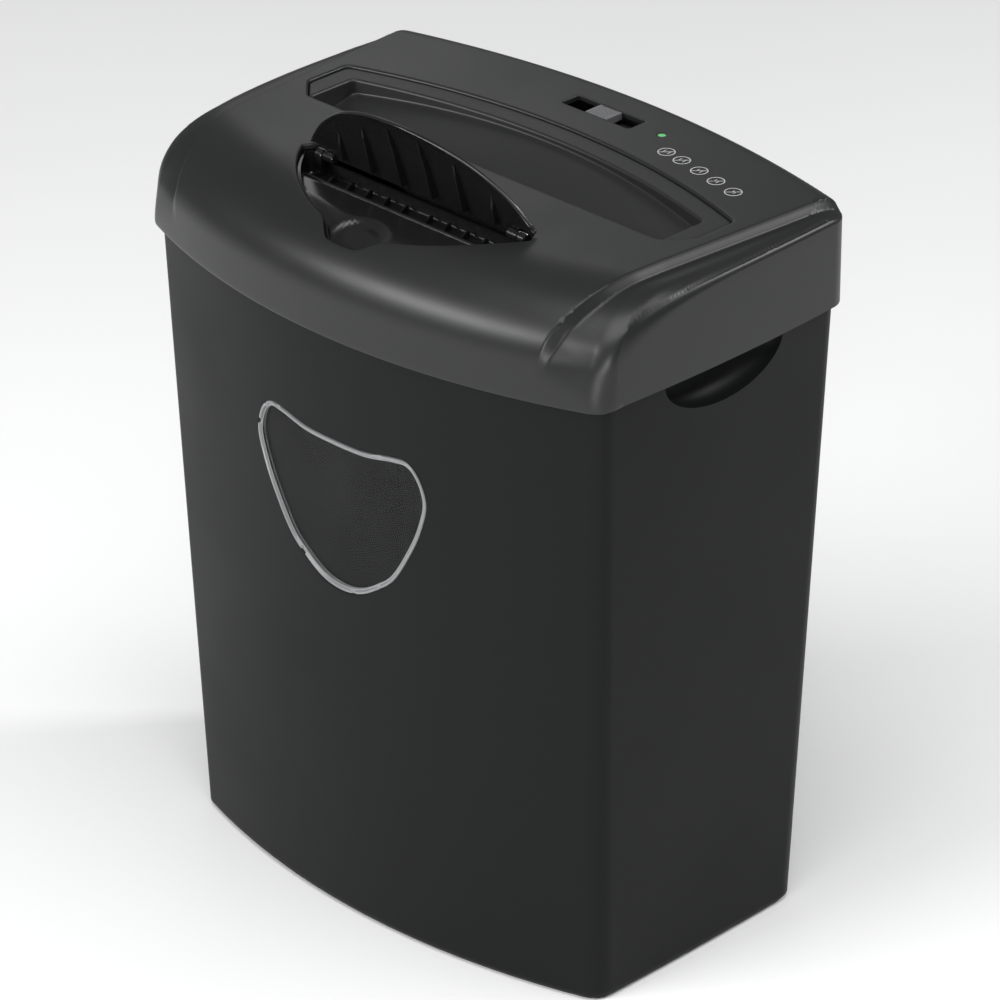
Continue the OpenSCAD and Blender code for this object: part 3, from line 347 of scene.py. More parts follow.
def bin_skin():
    # Lengths round the rim serve as the flat sheet's width; a column keeps its share of each arc. The
    # sheet starts and ends at the middle of the rear.
    rear_middle = sum(BIN_COUNTS[:4]) + BIN_COUNTS[4] // 2
    rim = np.roll(plan_points(BIN_TOP_PLAN, 0), -rear_middle, 0)
    closed = np.concatenate([rim, rim[:1]])
    along = np.concatenate([[0], np.cumsum(np.linalg.norm(np.diff(closed, axis=0), axis=1))])

    def place(u, z, inset=0.0):
        ring = np.roll(plan_points(bin_plan(z), inset + max(BIN_FOOT - z, 0) * 0.8), -rear_middle, 0)
        ring = np.concatenate([ring, ring[:1]])
        return np.array([np.interp(u, along, ring[:, 0]), np.interp(u, along, ring[:, 1])])

    far = 999
    mid_front = along[np.argmin(np.abs(closed[:, 0]) + (closed[:, 1] > 0) * far)]
    sides = []
    for sign in (-1, 1):
        near = np.abs(closed[:, 1] - SCOOP_Y) + (closed[:, 0] * sign < 0) * far
        sides.append((along[np.argmin(near)], sign))

    sheet = Sheet()
    special = []
    # Window: its edge, and rings that round it.
    window_edge = window_outline() + (mid_front, 0)
    for out, lift in ((0, 0.7), (0.25, 0.2), (0.7, 0), (2.5, 0)):
        loop = swell(window_edge, out)
        sheet.add(loop, lift, "loop")
        special.append(loop)
    # Scoops: half an ellipse hanging from the seam line; its rim is softened a little.
    turn = np.linspace(-math.pi, 0, 61)
    for centre, sign in sides:
        for scale in (1.03, 1.0, 0.985, 0.95, 0.9, 0.82, 0.72, 0.6, 0.45, 0.3, 0.12):
            across = centre + SCOOP_HALF * scale * np.cos(turn)
            arc = np.stack([across, SEAM + SCOOP_H * scale * np.sin(turn)], 1)
            arc = np.concatenate([[[arc[0, 0], RIM]], arc, [[arc[-1, 0], RIM]]])
            sheet.add(arc, 0, "line")
            special.append(arc)
    # The field: columns round the bin, rows up it.
    levels = np.array([0, 0.5, 1.2, 2, 3, 5, 9, 15, *range(22, 316, 7), 318, SEAM, RIM], float)
    field = np.array([(u, z) for u in along[1:-1] for z in levels[1:-1]])
    sheet.add(away_from(field, special, 1.1))
    ends = [u for line in special if line[0, 1] == RIM for u in line[[0, -1], 0]]
    bottom = sheet.add(np.stack([along, 0 * along], 1), 0, "line")
    sheet.add([(u, RIM) for u in along if not any(abs(u - e) < 0.3 for e in ends)])
    left = sheet.add([(0, z) for z in levels[1:-1]])
    right = sheet.add([(along[-1], z) for z in levels[1:-1]])
    flat, lift = sheet.gathered()
    faces = fill(flat, sheet.rows, lambda p: ~in_loop(window_edge, p), 1e-6)
    # The two ends of the flat sheet are the same line up the back.
    same = dict(zip(right, left))
    same[bottom[-1]] = bottom[0]
    rim_ids = sorted((flat[i][0], i) for i in range(len(flat)) if flat[i][1] == RIM)
    same[rim_ids[-1][1]] = rim_ids[0][1]
    faces = [tuple(same.get(i, i) for i in f) for f in faces]
    outer, inner = np.zeros((len(flat), 3)), np.zeros((len(flat), 3))
    for z in np.unique(flat[:, 1]):
        ids = np.where(flat[:, 1] == z)[0]
        outer[ids, :2] = place(flat[ids, 0], z).T
        inner[ids, :2] = place(flat[ids, 0], max(z, BIN_FLOOR), BIN_WALL).T
        outer[ids, 2] = z
        inner[ids, 2] = max(z, BIN_FLOOR)
    # Round the window's edge and press in the scoops.
    outer[:, 1] += lift
    for centre, sign in sides:
        ry, rz = (flat[:, 0] - centre) / SCOOP_HALF, np.minimum(flat[:, 1] - SEAM, 0) / SCOOP_H
        inside = np.clip(1 - ry * ry - rz * rz, 0, 1)
        outer[:, 0] -= sign * SCOOP_IN * np.sqrt(inside) * (0.8 + 0.2 * ease(inside / 0.05))
        inner[:, 0] = np.where(inside > 0, outer[:, 0] - sign * BIN_WALL, inner[:, 0])
    faces.append(tuple(bottom[:-1])[::-1])
    return outer, faces, inner


def spread(tree, source, low, high):
    # Turns a 0-to-1 pattern into a value between low and high.
    made = node(tree, "ShaderNodeMapRange", {"To Min": low, "To Max": high, "From Min": 0.3, "From Max": 0.7})
    tree.links.new(source, made.inputs["Value"])
    return made.outputs["Result"]


def moulded(name, colour, rough, grain=0.45, depth=0.03, specular=0.5, uneven=0.06):
    """Moulded plastic: a fine spark-eroded grain, faint flow marks in its sheen and a little unevenness."""
    paint, tree, skin = new_material(name)
    place = node(tree, "ShaderNodeTexCoord").outputs["Object"]
    fine = node(tree, "ShaderNodeTexNoise", {"Scale": 1 / (grain * MM), "Detail": 3, "Roughness": 0.6})
    broad = node(tree, "ShaderNodeTexNoise", {"Scale": 14, "Detail": 4, "Roughness": 0.55})
    for pattern in (fine, broad):
        tree.links.new(place, pattern.inputs["Vector"])
    dark, light = [c * (1 - uneven) for c in colour], [c * (1 + uneven) for c in colour]
    tree.links.new(shade_between(tree, broad.outputs["Fac"], dark, light), skin.inputs["Base Color"])
    tree.links.new(spread(tree, broad.outputs["Fac"], rough - 0.03, rough + 0.03), skin.inputs["Roughness"])
    bump = node(tree, "ShaderNodeBump", {"Strength": 0.35, "Distance": depth * MM})
    tree.links.new(fine.outputs["Fac"], bump.inputs["Height"])
    tree.links.new(bump.outputs["Normal"], skin.inputs["Normal"])
    skin.inputs["Specular IOR Level"].default_value = specular
    return paint


BIN_BLACK = (0.0062, 0.0066, 0.0066)
bin_body = join_meshes("bin_moulding", [shell_parts(*bin_skin())])
dress(bin_body, moulded("bin_black_matte", BIN_BLACK, 0.46, grain=0.5, depth=0.05, specular=0.12))
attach(bin_body, "bin")
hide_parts("bin")

# ---------------------------------------------------------------- head shell
# The head's top cover: a matte-satin black ABS moulding, bowed like the bin, with a long soft
# rounding in front, short ones at the ends, a raised middle and three openings in the top.
EDGE_RUN, EDGE_DROP, NOSE_RUN, NOSE_DROP = 9, 9, 45, 34
COVER_WALL, RIM_WALL, SHOULDER_DROP = 2.5, 1.6, 4.5
HEAD_TOP_D, HEAD_TOP_MIDDLE = HEAD_D - NOSE_RUN - EDGE_RUN, (NOSE_RUN - EDGE_RUN) / 2
HEAD_TOP_PLAN = (HEAD_W - 2 * EDGE_RUN, HEAD_TOP_D, HEAD_TOP_MIDDLE, 31, 21, 3, 14)
HEAD_COUNTS = (480, 26, 110, 24, 160)


def head_ring(turn, inset=0.0):
    """The cover's outer form where its rounding has turned by an angle from upright."""
    low = plan_points(HEAD_PLAN, inset, HEAD_COUNTS)
    high = plan_points(HEAD_TOP_PLAN, 0, HEAD_COUNTS)
    share = np.maximum(0, high[:, 1] - low[:, 1]) / NOSE_RUN
    drop = blend(EDGE_DROP, NOSE_DROP, share ** 4)
    flat = blend(low, high, 1 - math.cos(turn))
    return np.concatenate([flat, (TOP - drop * (1 - math.sin(turn)))[:, None]], 1)


form_rings = [head_ring(math.radians(a)) for a in np.arange(0, 90.1, 1.0)]
form_faces = ring_faces(len(form_rings[0]), len(form_rings))
form_tree = BVHTree.FromPolygons([tuple(p) for p in np.concatenate(form_rings)], form_faces)


def head_height(flat):
    """Heights of the cover's outer form over points in plan, the shoulders not yet pressed down."""
    made = np.full(len(flat), float(TOP))
    for i, (x, y) in enumerate(flat):
        hit = form_tree.ray_cast(Vector((x, y, TOP + 10)), Vector((0, 0, -1)))[0]
        if hit is not None:
            made[i] = hit.z
    return made


# Where the raised middle ends: half its width, read along the sum of depth and height, so that the
# line runs straight over the top and then sweeps inward down the front.
STEP_LINE = np.array([(246, 117.5), (258, 119.7), (267, 121), (277, 122.3), (288, 124.4), (301, 126.6),
                      (318, 129), (338, 130.6), (357, 131.6), (400, 135.2), (436, 138), (490, 142)])
STEP_SLOPE = 3.2


def step_fall(flat_sum, reach):
    """How far the shoulder lies below the middle, a distance outside the step line."""
    fade = ease((flat_sum - 247) / 26)
    edge = 0.35 * np.clip(reach / 0.5, 0, 1) ** 2
    slope = (SHOULDER_DROP - 0.75) * np.clip((reach - 0.35) / STEP_SLOPE, 0, 1)
    foot = 0.4 * ease((reach - 0.35 - STEP_SLOPE * 0.8) / 1.6)
    return fade * (edge + slope + foot)


def press_shoulders(points, normals):
    total = points[:, 1] + points[:, 2]
    reach = np.abs(points[:, 0]) - np.interp(total, STEP_LINE[:, 0], STEP_LINE[:, 1])
    fall = step_fall(total, reach)
    made = points.copy()
    made[:, 1] -= fall * normals[:, 1] * (normals[:, 1] < 0)
    made[:, 2] -= fall * normals[:, 2]
    return made


# The openings' outlines in plan: the paper well, the boat-shaped disc opening with its finger
# notch, and the mode switch's slot.
WELL_FRONT, WELL_REACH, WELL_HALF, WELL_BOW, SLOT_HALF = -5.1, 60, 127, 22, 111
BOAT_HALF, BOAT_REAR, BOAT_TIP, BOAT_FRONT, EAR_OUT = 75, -39.2, -47.2, -89, 70
NOTCH_HALF, NOTCH_FRONT = 19, -96
SWITCH_HALF, SWITCH_Y = 22, 80


def rounded(corners, radii, n=8):
    """A closed outline with each corner turned into an arc of its own radius."""
    made = []
    for p, before, after, r in zip(corners, np.roll(corners, 1, 0), np.roll(corners, -1, 0), radii):
        if r == 0:
            made.append(p)
            continue
        u, v = before - p, after - p
        lu, lv = np.linalg.norm(u), np.linalg.norm(v)
        u, v = u / lu, v / lv
        half = math.acos(np.clip(u @ v, -1, 1)) / 2
        cut = min(r / math.tan(half), lu * 0.48, lv * 0.48)
        a, b = p + u * cut, p + v * cut
        made += [(1 - t) ** 2 * a + 2 * t * (1 - t) * p + t * t * b for t in np.linspace(0, 1, n)]
    return np.array(made)


def well_outline():
    r = arc_radius(WELL_HALF, WELL_BOW)
    centre = np.array([0, WELL_FRONT + WELL_REACH - r])
    a = math.acos(WELL_HALF / r)
    arc = arc_points(centre, r, a, math.pi - a, 40)
    arc = np.concatenate([arc, [[-WELL_HALF, arc[0][1]]]])
    front = [[-SLOT_HALF - 4, WELL_FRONT], [SLOT_HALF + 4, WELL_FRONT], [WELL_HALF, WELL_FRONT + 12]]
    corners = np.concatenate([front, arc, [[-WELL_HALF, WELL_FRONT + 12]]])
    radii = np.array([5, 5, 5, 9] + [0] * (len(arc) - 2) + [9, 5])
    return even_loop(rounded(corners, radii), 1.6)


def boat_outline():
    r = arc_radius(BOAT_HALF, BOAT_TIP - BOAT_FRONT)
    centre = np.array([0, BOAT_FRONT + r])
    a = math.asin(BOAT_HALF / r)
    arc = arc_points(centre, r, -math.pi / 2 - a, -math.pi / 2 + a, 160)
    # The finger notch bulges out of the front in one soft curve.
    bulge = (BOAT_FRONT - NOTCH_FRONT) * ease(1.55 * (1 - np.abs(arc[:, 0]) / (NOTCH_HALF + 3.5)))
    arc[:, 1] -= bulge
    rear = [[BOAT_HALF, BOAT_TIP], [EAR_OUT, BOAT_REAR]]
    corners = np.concatenate([[[-EAR_OUT, BOAT_REAR]], arc, rear])
    radii = np.array([3, 2] + [0] * (len(arc) - 1) + [2, 3])
    return even_loop(rounded(corners, radii), 1.3)


def slot_outline(half, wide, y, r=1.5):
    corners = np.array([(-half, y - wide), (half, y - wide), (half, y + wide), (-half, y + wide)], float)
    return even_loop(rounded(corners, [r] * 4, 5), 1.2)


LED_X, LED_R = 38, 2.15
openings = {"well": well_outline(), "boat": boat_outline(), "switch": slot_outline(SWITCH_HALF, 6, SWITCH_Y),
            "led": arc_points((LED_X, SWITCH_Y), LED_R, 0, 2 * math.pi, 24)}
LIP_ROLL = {"well": 1.3, "boat": 0.9, "switch": 0.5, "led": 0.3}


def cover_skin():
    foot = head_ring(0)
    n = len(foot)
    low, bevel = head_ring(0, 0.5), head_ring(0, 0.12)
    low[:, 2], bevel[:, 2] = SEAM, SEAM + 0.4
    skirt = []
    for share in (0, 0.12, 0.3, 0.5, 0.7, 0.85):
        skirt.append(np.column_stack([foot[:, :2], blend(SEAM + 1.2, foot[:, 2], share)]))
    rings = [low, bevel, *skirt, *[head_ring(t) for t in np.radians(np.arange(0, 36.1, 3))]]
    points = np.concatenate(rings)
    faces = ring_faces(n, len(rings))
    # The flat-lying part: the rest of the rounding in rows, the step line, the openings, a field.
    inner_edge = rings[-1][:, :2]
    sheet, special = Sheet(), []
    sheet.add(inner_edge, 0, "loop")
    for name, loop in openings.items():
        r = LIP_ROLL[name]
        rolled = [(0, r), (0.08 * r, 0.6 * r), (0.3 * r, 0.29 * r), (0.6 * r, 0.083 * r)]
        for out, roll in (*rolled, (r, 0), (r + 1.2, 0)):
            ring = swell(loop, out) if out else loop
            sheet.add(ring, roll, "" if out else "loop")
            special.append(ring)
    step_rows = []
    for sign in (-1, 1):
        for reach in (-1.8, -0.7, 0, 0.25, 0.5, 1.5, 2.6, 3.2, 3.6, 4.4, 5.4, 7):
            row = []
            for y in np.arange(-92, 100, 2.0):
                x = 132.0
                for _ in range(4):
                    z = head_height([(sign * x, y)])[0]
                    x = np.interp(y + z, STEP_LINE[:, 0], STEP_LINE[:, 1]) + reach
                row.append((sign * x, y))
            step_rows.append(np.array(row))
    for row in step_rows:
        row = away_from(row[in_loop(inner_edge, row)], [inner_edge], 0.7)
        row = away_from(row, special, 0.8)
        if len(row):
            sheet.add(row)
    kept_clear = special + step_rows
    band = np.concatenate([head_ring(math.radians(a))[::2, :2] for a in np.arange(40, 90.1, 5)])
    sheet.add(away_from(band, kept_clear, 0.9))
    high = head_ring(math.radians(90))[:, :2]
    grid = grid_of(np.arange(-147, 148, 3.0), np.arange(-104, 106, 3.0))
    sheet.add(away_from(grid[in_loop(high, grid)], kept_clear + [high[::2]], 1.3))
    flat, roll = sheet.gathered()

    def keep(middles):
        good = in_loop(inner_edge, middles)
        for loop in openings.values():
            good &= ~in_loop(loop, middles)
        return good

    edge_start = (len(rings) - 1) * n
    faces += [tuple(i + edge_start for i in t) for t in fill(flat, sheet.rows, keep)]
    outer = np.concatenate([points, np.column_stack([flat, head_height(flat)])[n:]])
    rolls = np.concatenate([np.zeros(len(points)), roll[n:]])
    normals = face_normals(outer, faces)
    pressed = press_shoulders(outer, normals)
    inner = pressed - normals * COVER_WALL
    upright = rolls > 0
    inner[upright, :2] = pressed[upright, :2]
    inner[upright, 2] = pressed[upright, 2] - COVER_WALL
    inner[:n, :2], inner[:n, 2] = (outer[:n] - normals[:n] * RIM_WALL)[:, :2], SEAM + 0.2
    pressed[:, 2] -= rolls
    return pressed, faces, inner


cover = join_meshes("head_cover", [shell_parts(*cover_skin())])

# The hole for the cord's grommet is drilled through the rear wall.
GROMMET_X, GROMMET_Z, GROMMET_R = -30, 344, 7.3


def drill(thing, x, z, r, y0, y1, n=48):
    turns = np.linspace(0, 2 * math.pi, n, endpoint=False)
    ends = [np.column_stack([x + r * np.cos(turns), np.full(n, y), z + r * np.sin(turns)]) for y in (y0, y1)]
    sides = [f[::-1] for f in ring_faces(n, 2)]
    caps = [tuple(range(n)), tuple(range(2 * n - 1, n - 1, -1))]
    bit = join_meshes("drill", [(np.concatenate(ends), sides + caps)])
    hole = thing.modifiers.new("drilled", "BOOLEAN")
    hole.object, hole.operation, hole.solver = bit, "DIFFERENCE", "EXACT"
    shaped = bpy.data.meshes.new_from_object(thing.evaluated_get(bpy.context.evaluated_depsgraph_get()))
    thing.modifiers.clear()
    thing.data = shaped
    bpy.data.objects.remove(bit)
    thing.data.set_sharp_from_angle(angle=math.radians(38))


drill(cover, GROMMET_X, GROMMET_Z, GROMMET_R, 90, 115)
HEAD_BLACK = (0.012, 0.0123, 0.0125)
dress(cover, moulded("head_black_satin", HEAD_BLACK, 0.36, grain=0.4, depth=0.035, specular=0.36))
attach(cover, "head")
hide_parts("upper_housing")

# ---------------------------------------------------------------- bin window
# The window: a clear styrene pane moulded to the bin's bow and snapped into its hole, with a
# bevelled rim that stands a little proud and is broken by the snap tabs' notches. The rim's pale,
# nearly opaque grey is a painted highlight for the catch-light along its bevel.
RIM_GAPS = (0.03, 0.095, 0.43, 0.60, 0.655, 0.71, 0.90)
# Rings in from the edge: how far in, how proud of the bin, and whether the notches break them.
RIM_PROFILE = [(0.3, -0.9, 0), (0.35, 0.3, 1), (0.6, 0.6, 1), (1.5, 0.6, 1), (1.9, 0.1, 1), (2.1, -0.5, 0),
               (2.9, -0.55, 0)]
PANE_FACE, PANE_BACK = -0.55, -2.3


def window_skin():
    outline = window_outline(14)
    turns = np.arange(len(outline)) / len(outline)
    broken = np.min([np.abs((turns - g + 0.5) % 1 - 0.5) for g in RIM_GAPS], axis=0)
    full = ease((broken - 0.004) / 0.002)
    sheet = Sheet()
    for inset, lift, is_rim in RIM_PROFILE:
        proud = np.where(full < 1, blend(-0.45, lift, full), lift) if is_rim else lift
        sheet.add(swell(outline, -inset), proud, "loop" if inset == RIM_PROFILE[0][0] else "")
    edge, pane_edge = sheet.parts[0], sheet.parts[-1]
    grid = grid_of(np.arange(-60, 61, 3.0), np.arange(WINDOW_Z - 48, WINDOW_Z + 49, 3.0))
    sheet.add(away_from(grid[in_loop(pane_edge, grid)], [pane_edge], 1.3), PANE_FACE)
    flat, proud = sheet.gathered()
    faces = fill(flat, sheet.rows, lambda p: in_loop(edge, p))
    outer = front_place(flat[:, 0], flat[:, 1], proud)
    return outer, faces, front_place(flat[:, 0], flat[:, 1], PANE_BACK)


def clear_styrene(name, tint, rough, cover):
    """Clear moulded styrene: a faint haze that varies across it and hair-fine scuffs in its sheen."""
    paint, tree, skin = new_material(name)
    place = node(tree, "ShaderNodeTexCoord").outputs["Object"]
    haze = node(tree, "ShaderNodeTexNoise", {"Scale": 35, "Detail": 4, "Roughness": 0.6})
    tree.links.new(place, haze.inputs["Vector"])
    tree.links.new(spread(tree, haze.outputs["Fac"], rough * 0.8, rough * 1.25), skin.inputs["Roughness"])
    tree.links.new(spread(tree, haze.outputs["Fac"], cover - 0.03, cover + 0.03), skin.inputs["Alpha"])
    tone = shade_between(tree, haze.outputs["Fac"], [t * 0.94 for t in tint], tint)
    tree.links.new(tone, skin.inputs["Base Color"])
    skin.inputs["IOR"].default_value = 1.57
    return paint


window_outer, window_faces, window_inner = window_skin()
window = join_meshes("window_pane", [shell_parts(window_outer, window_faces, window_inner)])
dress(window, clear_styrene("window_clear", (0.03, 0.031, 0.031), 0.14, 0.16))
# The rim gets a pale grey, nearly opaque tint: a painted highlight for the catch-light on its bevel, not the
# styrene's own colour.
window.data.materials.append(clear_styrene("window_rim", (0.24, 0.245, 0.25), 0.18, 0.85))
rim_end = len(window_outline(14)) * (len(RIM_PROFILE) - 1)
for face in window.data.polygons:
    if min(i % len(window_outer) for i in face.vertices) < rim_end:
        face.material_index = 1
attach(window, "bin")
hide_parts("bin_window")

# ---------------------------------------------------------------- paper well
# The paper feed: an inner black moulding whose ledge shows in the cover's long opening, then falls
# in a slope to the paper slot; two bent guide plates below carry the sheets to the cutters.
GUIDE_T, GUIDE_HALF, SHAFT_Z, NIP_Y, DISC_R, SHAFT_GAP = 1.8, 111.5, 326, -26, 20.5, 35
LEDGE_Z, LEDGE_W, FUNNEL_Z, PAPER_GAP = TOP - 1.2, 12, TOP - 14, 3.0
GUIDE_END, GUIDE_OUTER = SHAFT_Z + 19, SHAFT_Z + DISC_R + 4.5


def bar(x0, x1, section, bevel=0.25):
    """A straight moulding along X with a (y, z) section and softened ends."""
    section = np.array(section, float)
    area = sum(a[0] * b[1] - b[0] * a[1] for a, b in zip(section, np.roll(section, -1, 0)))
    if area < 0:
        section = section[::-1]
    small = swell(section, -bevel)
    stations = ((x0, small), (x0 + bevel, section), (x1 - bevel, section), (x1, small))
    rings = [np.c_[np.full(len(s), x), s] for x, s in stations]
    n = len(section)
    return np.concatenate(rings), ring_faces(n, 4) + [tuple(range(n))[::-1], tuple(range(3 * n, 4 * n))]


def round_bar(x0, x1, y, z, r, n=28):
    turn = np.arange(n) * 2 * math.pi / n
    return bar(x0, x1, np.stack([y + r * np.cos(turn), z + r * np.sin(turn)], 1), min(0.3, r * 0.2))


def slot_loop(half, front, rear, step):
    return even_loop(np.array([(-half, front), (half, front), (half, rear), (-half, rear)], float), step)


def guide_section(mouth, bend, end, side, rise):
    """A bent guide plate's section: down from the mouth, then slanting to its end."""
    back = np.array([side, rise]) * GUIDE_T * 0.7
    mouth, bend, end, upright = np.array(mouth), np.array(bend), np.array(end), np.array([side * GUIDE_T, 0])
    return [mouth, bend, end, end + back, bend + upright + np.array([0, rise * GUIDE_T * 0.4]), mouth + upright]


def well_skin():
    edge = swell(openings["well"], -0.35)
    half, far = WELL_HALF - LEDGE_W, WELL_FRONT + WELL_REACH - LEDGE_W
    r = arc_radius(WELL_HALF, WELL_BOW)
    arc = arc_points((0, far - r), r, math.acos(half / r), math.pi - math.acos(half / r), 40)
    arc = np.concatenate([arc, [[-half, arc[0][1]]]])
    corners = np.concatenate([[[-half, -3.7], [half, -3.7]], arc])
    pit = even_loop(rounded(corners, np.array([2.5, 2.5, 8] + [0] * (len(arc) - 2) + [8]), 8), 1.5)
    slot = slot_loop(SLOT_HALF, -PAPER_GAP + 0.1, PAPER_GAP, 2.5)

    def slope(p):
        share = (p[:, 1] - PAPER_GAP) / (far - PAPER_GAP)
        return np.interp(share, [0, 1], [FUNNEL_Z, TOP - 4.4])

    sheet = Sheet()
    sheet.add(edge, LEDGE_Z - 0.7, "loop")
    for inset, fall in ((0.15, 0.3), (0.5, 0.05), (0.9, 0)):
        sheet.add(swell(edge, -inset), LEDGE_Z - fall)
    for out, fall in ((2.0, 0), (1.3, 0.0), (0.85, 0.12), (0.45, 0.42), (0.15, 0.85), (0.0, 1.3)):
        ring = swell(pit, out)
        sheet.add(ring[in_loop(swell(edge, -1.0), ring)], LEDGE_Z - fall)
    for inset, over in ((0.12, 0.9), (0.35, 0.25), (0.8, 0)):
        ring = swell(pit, -inset)
        if not over:
            ring = ring[~in_loop(swell(slot, 0.1), ring)]
        sheet.add(ring, slope(ring) + over)
    slot_ids = sheet.add(slot, slope(slot), "loop")
    grid = grid_of(np.arange(-126, 127, 3.0), np.arange(-5, 56, 2.6))
    grid = grid[in_loop(edge, grid) & ~in_loop(slot, grid)]
    grid = away_from(grid, sheet.parts, 1.0)
    sheet.add(grid, np.where(in_loop(pit, grid), slope(grid), LEDGE_Z))
    flat, z = sheet.gathered()
    faces = fill(flat, sheet.rows, lambda p: in_loop(edge, p) & ~in_loop(slot, p))
    outer = np.c_[flat, z]
    inner = outer - (0, 0, 1.9)
    inner[slot_ids, 2] = TOP - 32
    return shell_parts(outer, faces, inner)


front_guide = guide_section((-3, LEDGE_Z - 3), (-3, TOP - 11), (NIP_Y + 1.5, GUIDE_END), -1, 1)
rear_guide = guide_section((3, FUNNEL_Z - 2), (3, FUNNEL_Z - 2.5), (NIP_Y + SHAFT_GAP / 2, GUIDE_OUTER), 1, -1)
paper_guides = [bar(-GUIDE_HALF, GUIDE_HALF, section) for section in (front_guide, rear_guide)]
well = join_meshes("paper_well", [well_skin(), *paper_guides])
INNER_BLACK = (0.013, 0.0132, 0.0135)
dress(well, moulded("inner_black", INNER_BLACK, 0.42, grain=0.4, depth=0.03, specular=0.4))
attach(well, "head")
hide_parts("paper_chute")

# ---------------------------------------------------------------- disc recess
# The disc feed under the flap: a polished black tray with a finger dish in front, a raised lip
# along the disc slot, hinge blocks at both ends and two guide plates that run down to the cutters.
PAN_Z, LIP_Z, DISC_Y, DISC_GAP, DISC_HALF = TOP - 14, TOP - 7, -55, 5.4, 62.5
HINGE_Y, HINGE_Z, EAR_IN, EAR_T = BOAT_REAR - 3.8, TOP - 3.2, 64.3, 4.4
SLOT_FRONT, SLOT_REAR = DISC_Y - DISC_GAP / 2, DISC_Y + DISC_GAP / 2


def tray_skin():
    edge = swell(openings["boat"], -0.35)
    slot = slot_loop(DISC_HALF, SLOT_FRONT, SLOT_REAR, 2.0)

    def front_floor(p):
        height = np.minimum(LIP_Z - 0.4, head_height(p) - 6.4)
        away = np.hypot(p[:, 0] / 1.15, p[:, 1] + 84.5)
        return height - 2.6 * ease((15.5 - away) / 5.5)

    def floor_at(p):
        return np.where(p[:, 1] < SLOT_FRONT - 0.05, front_floor(p), PAN_Z)

    def wall_top(p):
        height = np.minimum(TOP - 2.9, head_height(p) - 2.7)
        return np.where(p[:, 1] > HINGE_Y + 1, HINGE_Z - 4.6, height)

    sheet = Sheet()
    for inset in (0, 1.4):
        ring = swell(edge, -inset)
        sheet.add(ring, wall_top(ring), "" if inset else "loop")
    for inset, over in ((1.65, 0.9), (2.1, 0.25), (2.8, 0)):
        ring = swell(edge, -inset)
        sheet.add(ring, floor_at(ring) + over)
    inner_edge = swell(edge, -3.2)
    # The step behind the lip line, beyond the slot's ends, and the lip's bead along the slot.
    for y, z in ((SLOT_FRONT - 0.12, LIP_Z - 0.4), (SLOT_FRONT + 0.12, PAN_Z + 0.4)):
        row = np.array([(x, y) for x in np.arange(-72, 72.1, 1.5) if abs(x) > DISC_HALF + 0.7])
        sheet.add(row[in_loop(inner_edge, row)], z)
    slot_ids = sheet.add(slot, np.where(slot[:, 1] < SLOT_FRONT + 0.1, LIP_Z + 0.35, PAN_Z), "loop")
    for back, z in ((0.35, 0.62), (0.9, 0.62), (1.35, 0.25), (1.7, -0.3), (2.3, -0.42)):
        sheet.add([(x, SLOT_FRONT - back) for x in np.arange(-DISC_HALF, DISC_HALF + 0.1, 1.5)], LIP_Z + z)
    grid = grid_of(np.arange(-74, 75, 1.8), np.arange(-97, -38, 1.8))
    grid = grid[in_loop(inner_edge, grid) & ~in_loop(slot, grid)]
    grid = away_from(grid, sheet.parts, 0.9)
    sheet.add(grid, floor_at(grid))
    flat, z = sheet.gathered()
    faces = fill(flat, sheet.rows, lambda p: in_loop(edge, p) & ~in_loop(slot, p))
    outer = np.c_[flat, z]
    inner = outer - (0, 0, 1.8)
    low = np.arange(len(edge))
    inner[low, 2] = np.minimum(outer[low, 2] - 4, floor_at(flat[low]) - 1.8)
    inner[slot_ids, 2] = TOP - 34
    return shell_parts(outer, faces, inner)


def hinge_block(sign):
    """A rounded block from the tray's floor to the pin."""
    x0, x1 = sorted((sign * EAR_IN, sign * (EAR_IN + EAR_T)))
    arc = [(HINGE_Y + 3 * math.cos(t), HINGE_Z - 0.2 + 3 * math.sin(t)) for t in np.linspace(0, math.pi, 15)]
    return bar(x0, x1, [(HINGE_Y + 3, PAN_Z - 0.5)] + arc + [(HINGE_Y - 3, PAN_Z - 0.5)], 0.4)


disc_front = guide_section((SLOT_FRONT, LIP_Z - 2), (SLOT_FRONT, LIP_Z - 4),
                           (NIP_Y - SHAFT_GAP / 2 - 2, GUIDE_OUTER + 1), -1, -1)
disc_rear = guide_section((SLOT_REAR, PAN_Z - 0.5), (SLOT_REAR, PAN_Z - 0.8), (NIP_Y - 1.5, GUIDE_END), 1, 1)
disc_guides = [bar(-DISC_HALF - GUIDE_T, DISC_HALF + GUIDE_T, section) for section in (disc_front, disc_rear)]
rib_section = [(-50.6, PAN_Z - 0.5), (-43.5, PAN_Z - 0.5), (-43.5, PAN_Z + 3.6), (-46, PAN_Z + 3.6),
               (-50.6, PAN_Z + 0.6)]
tray_ribs = [bar(s * x - 0.6, s * x + 0.6, rib_section) for s in (-1, 1) for x in (8, 20, 32, 44, 56)]
tray = join_meshes("disc_tray", [tray_skin(), hinge_block(-1), hinge_block(1), *disc_guides, *tray_ribs])
tray_black = moulded("tray_black_gloss", (0.008, 0.008, 0.0085), 0.2, grain=0.8, depth=0.012, specular=0.5)
dress(tray, tray_black)
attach(tray, "head")
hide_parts("disc_chute")

# ---------------------------------------------------------------- disc flap
# The flap over the disc feed: one polished black moulding that carries on the cover's surface when
# shut, with ribs and a stiffening bead beneath and two knuckles whose pins turn in the hinge blocks.
FLAP_OPEN, FLAP_T = math.radians(72), 2.0


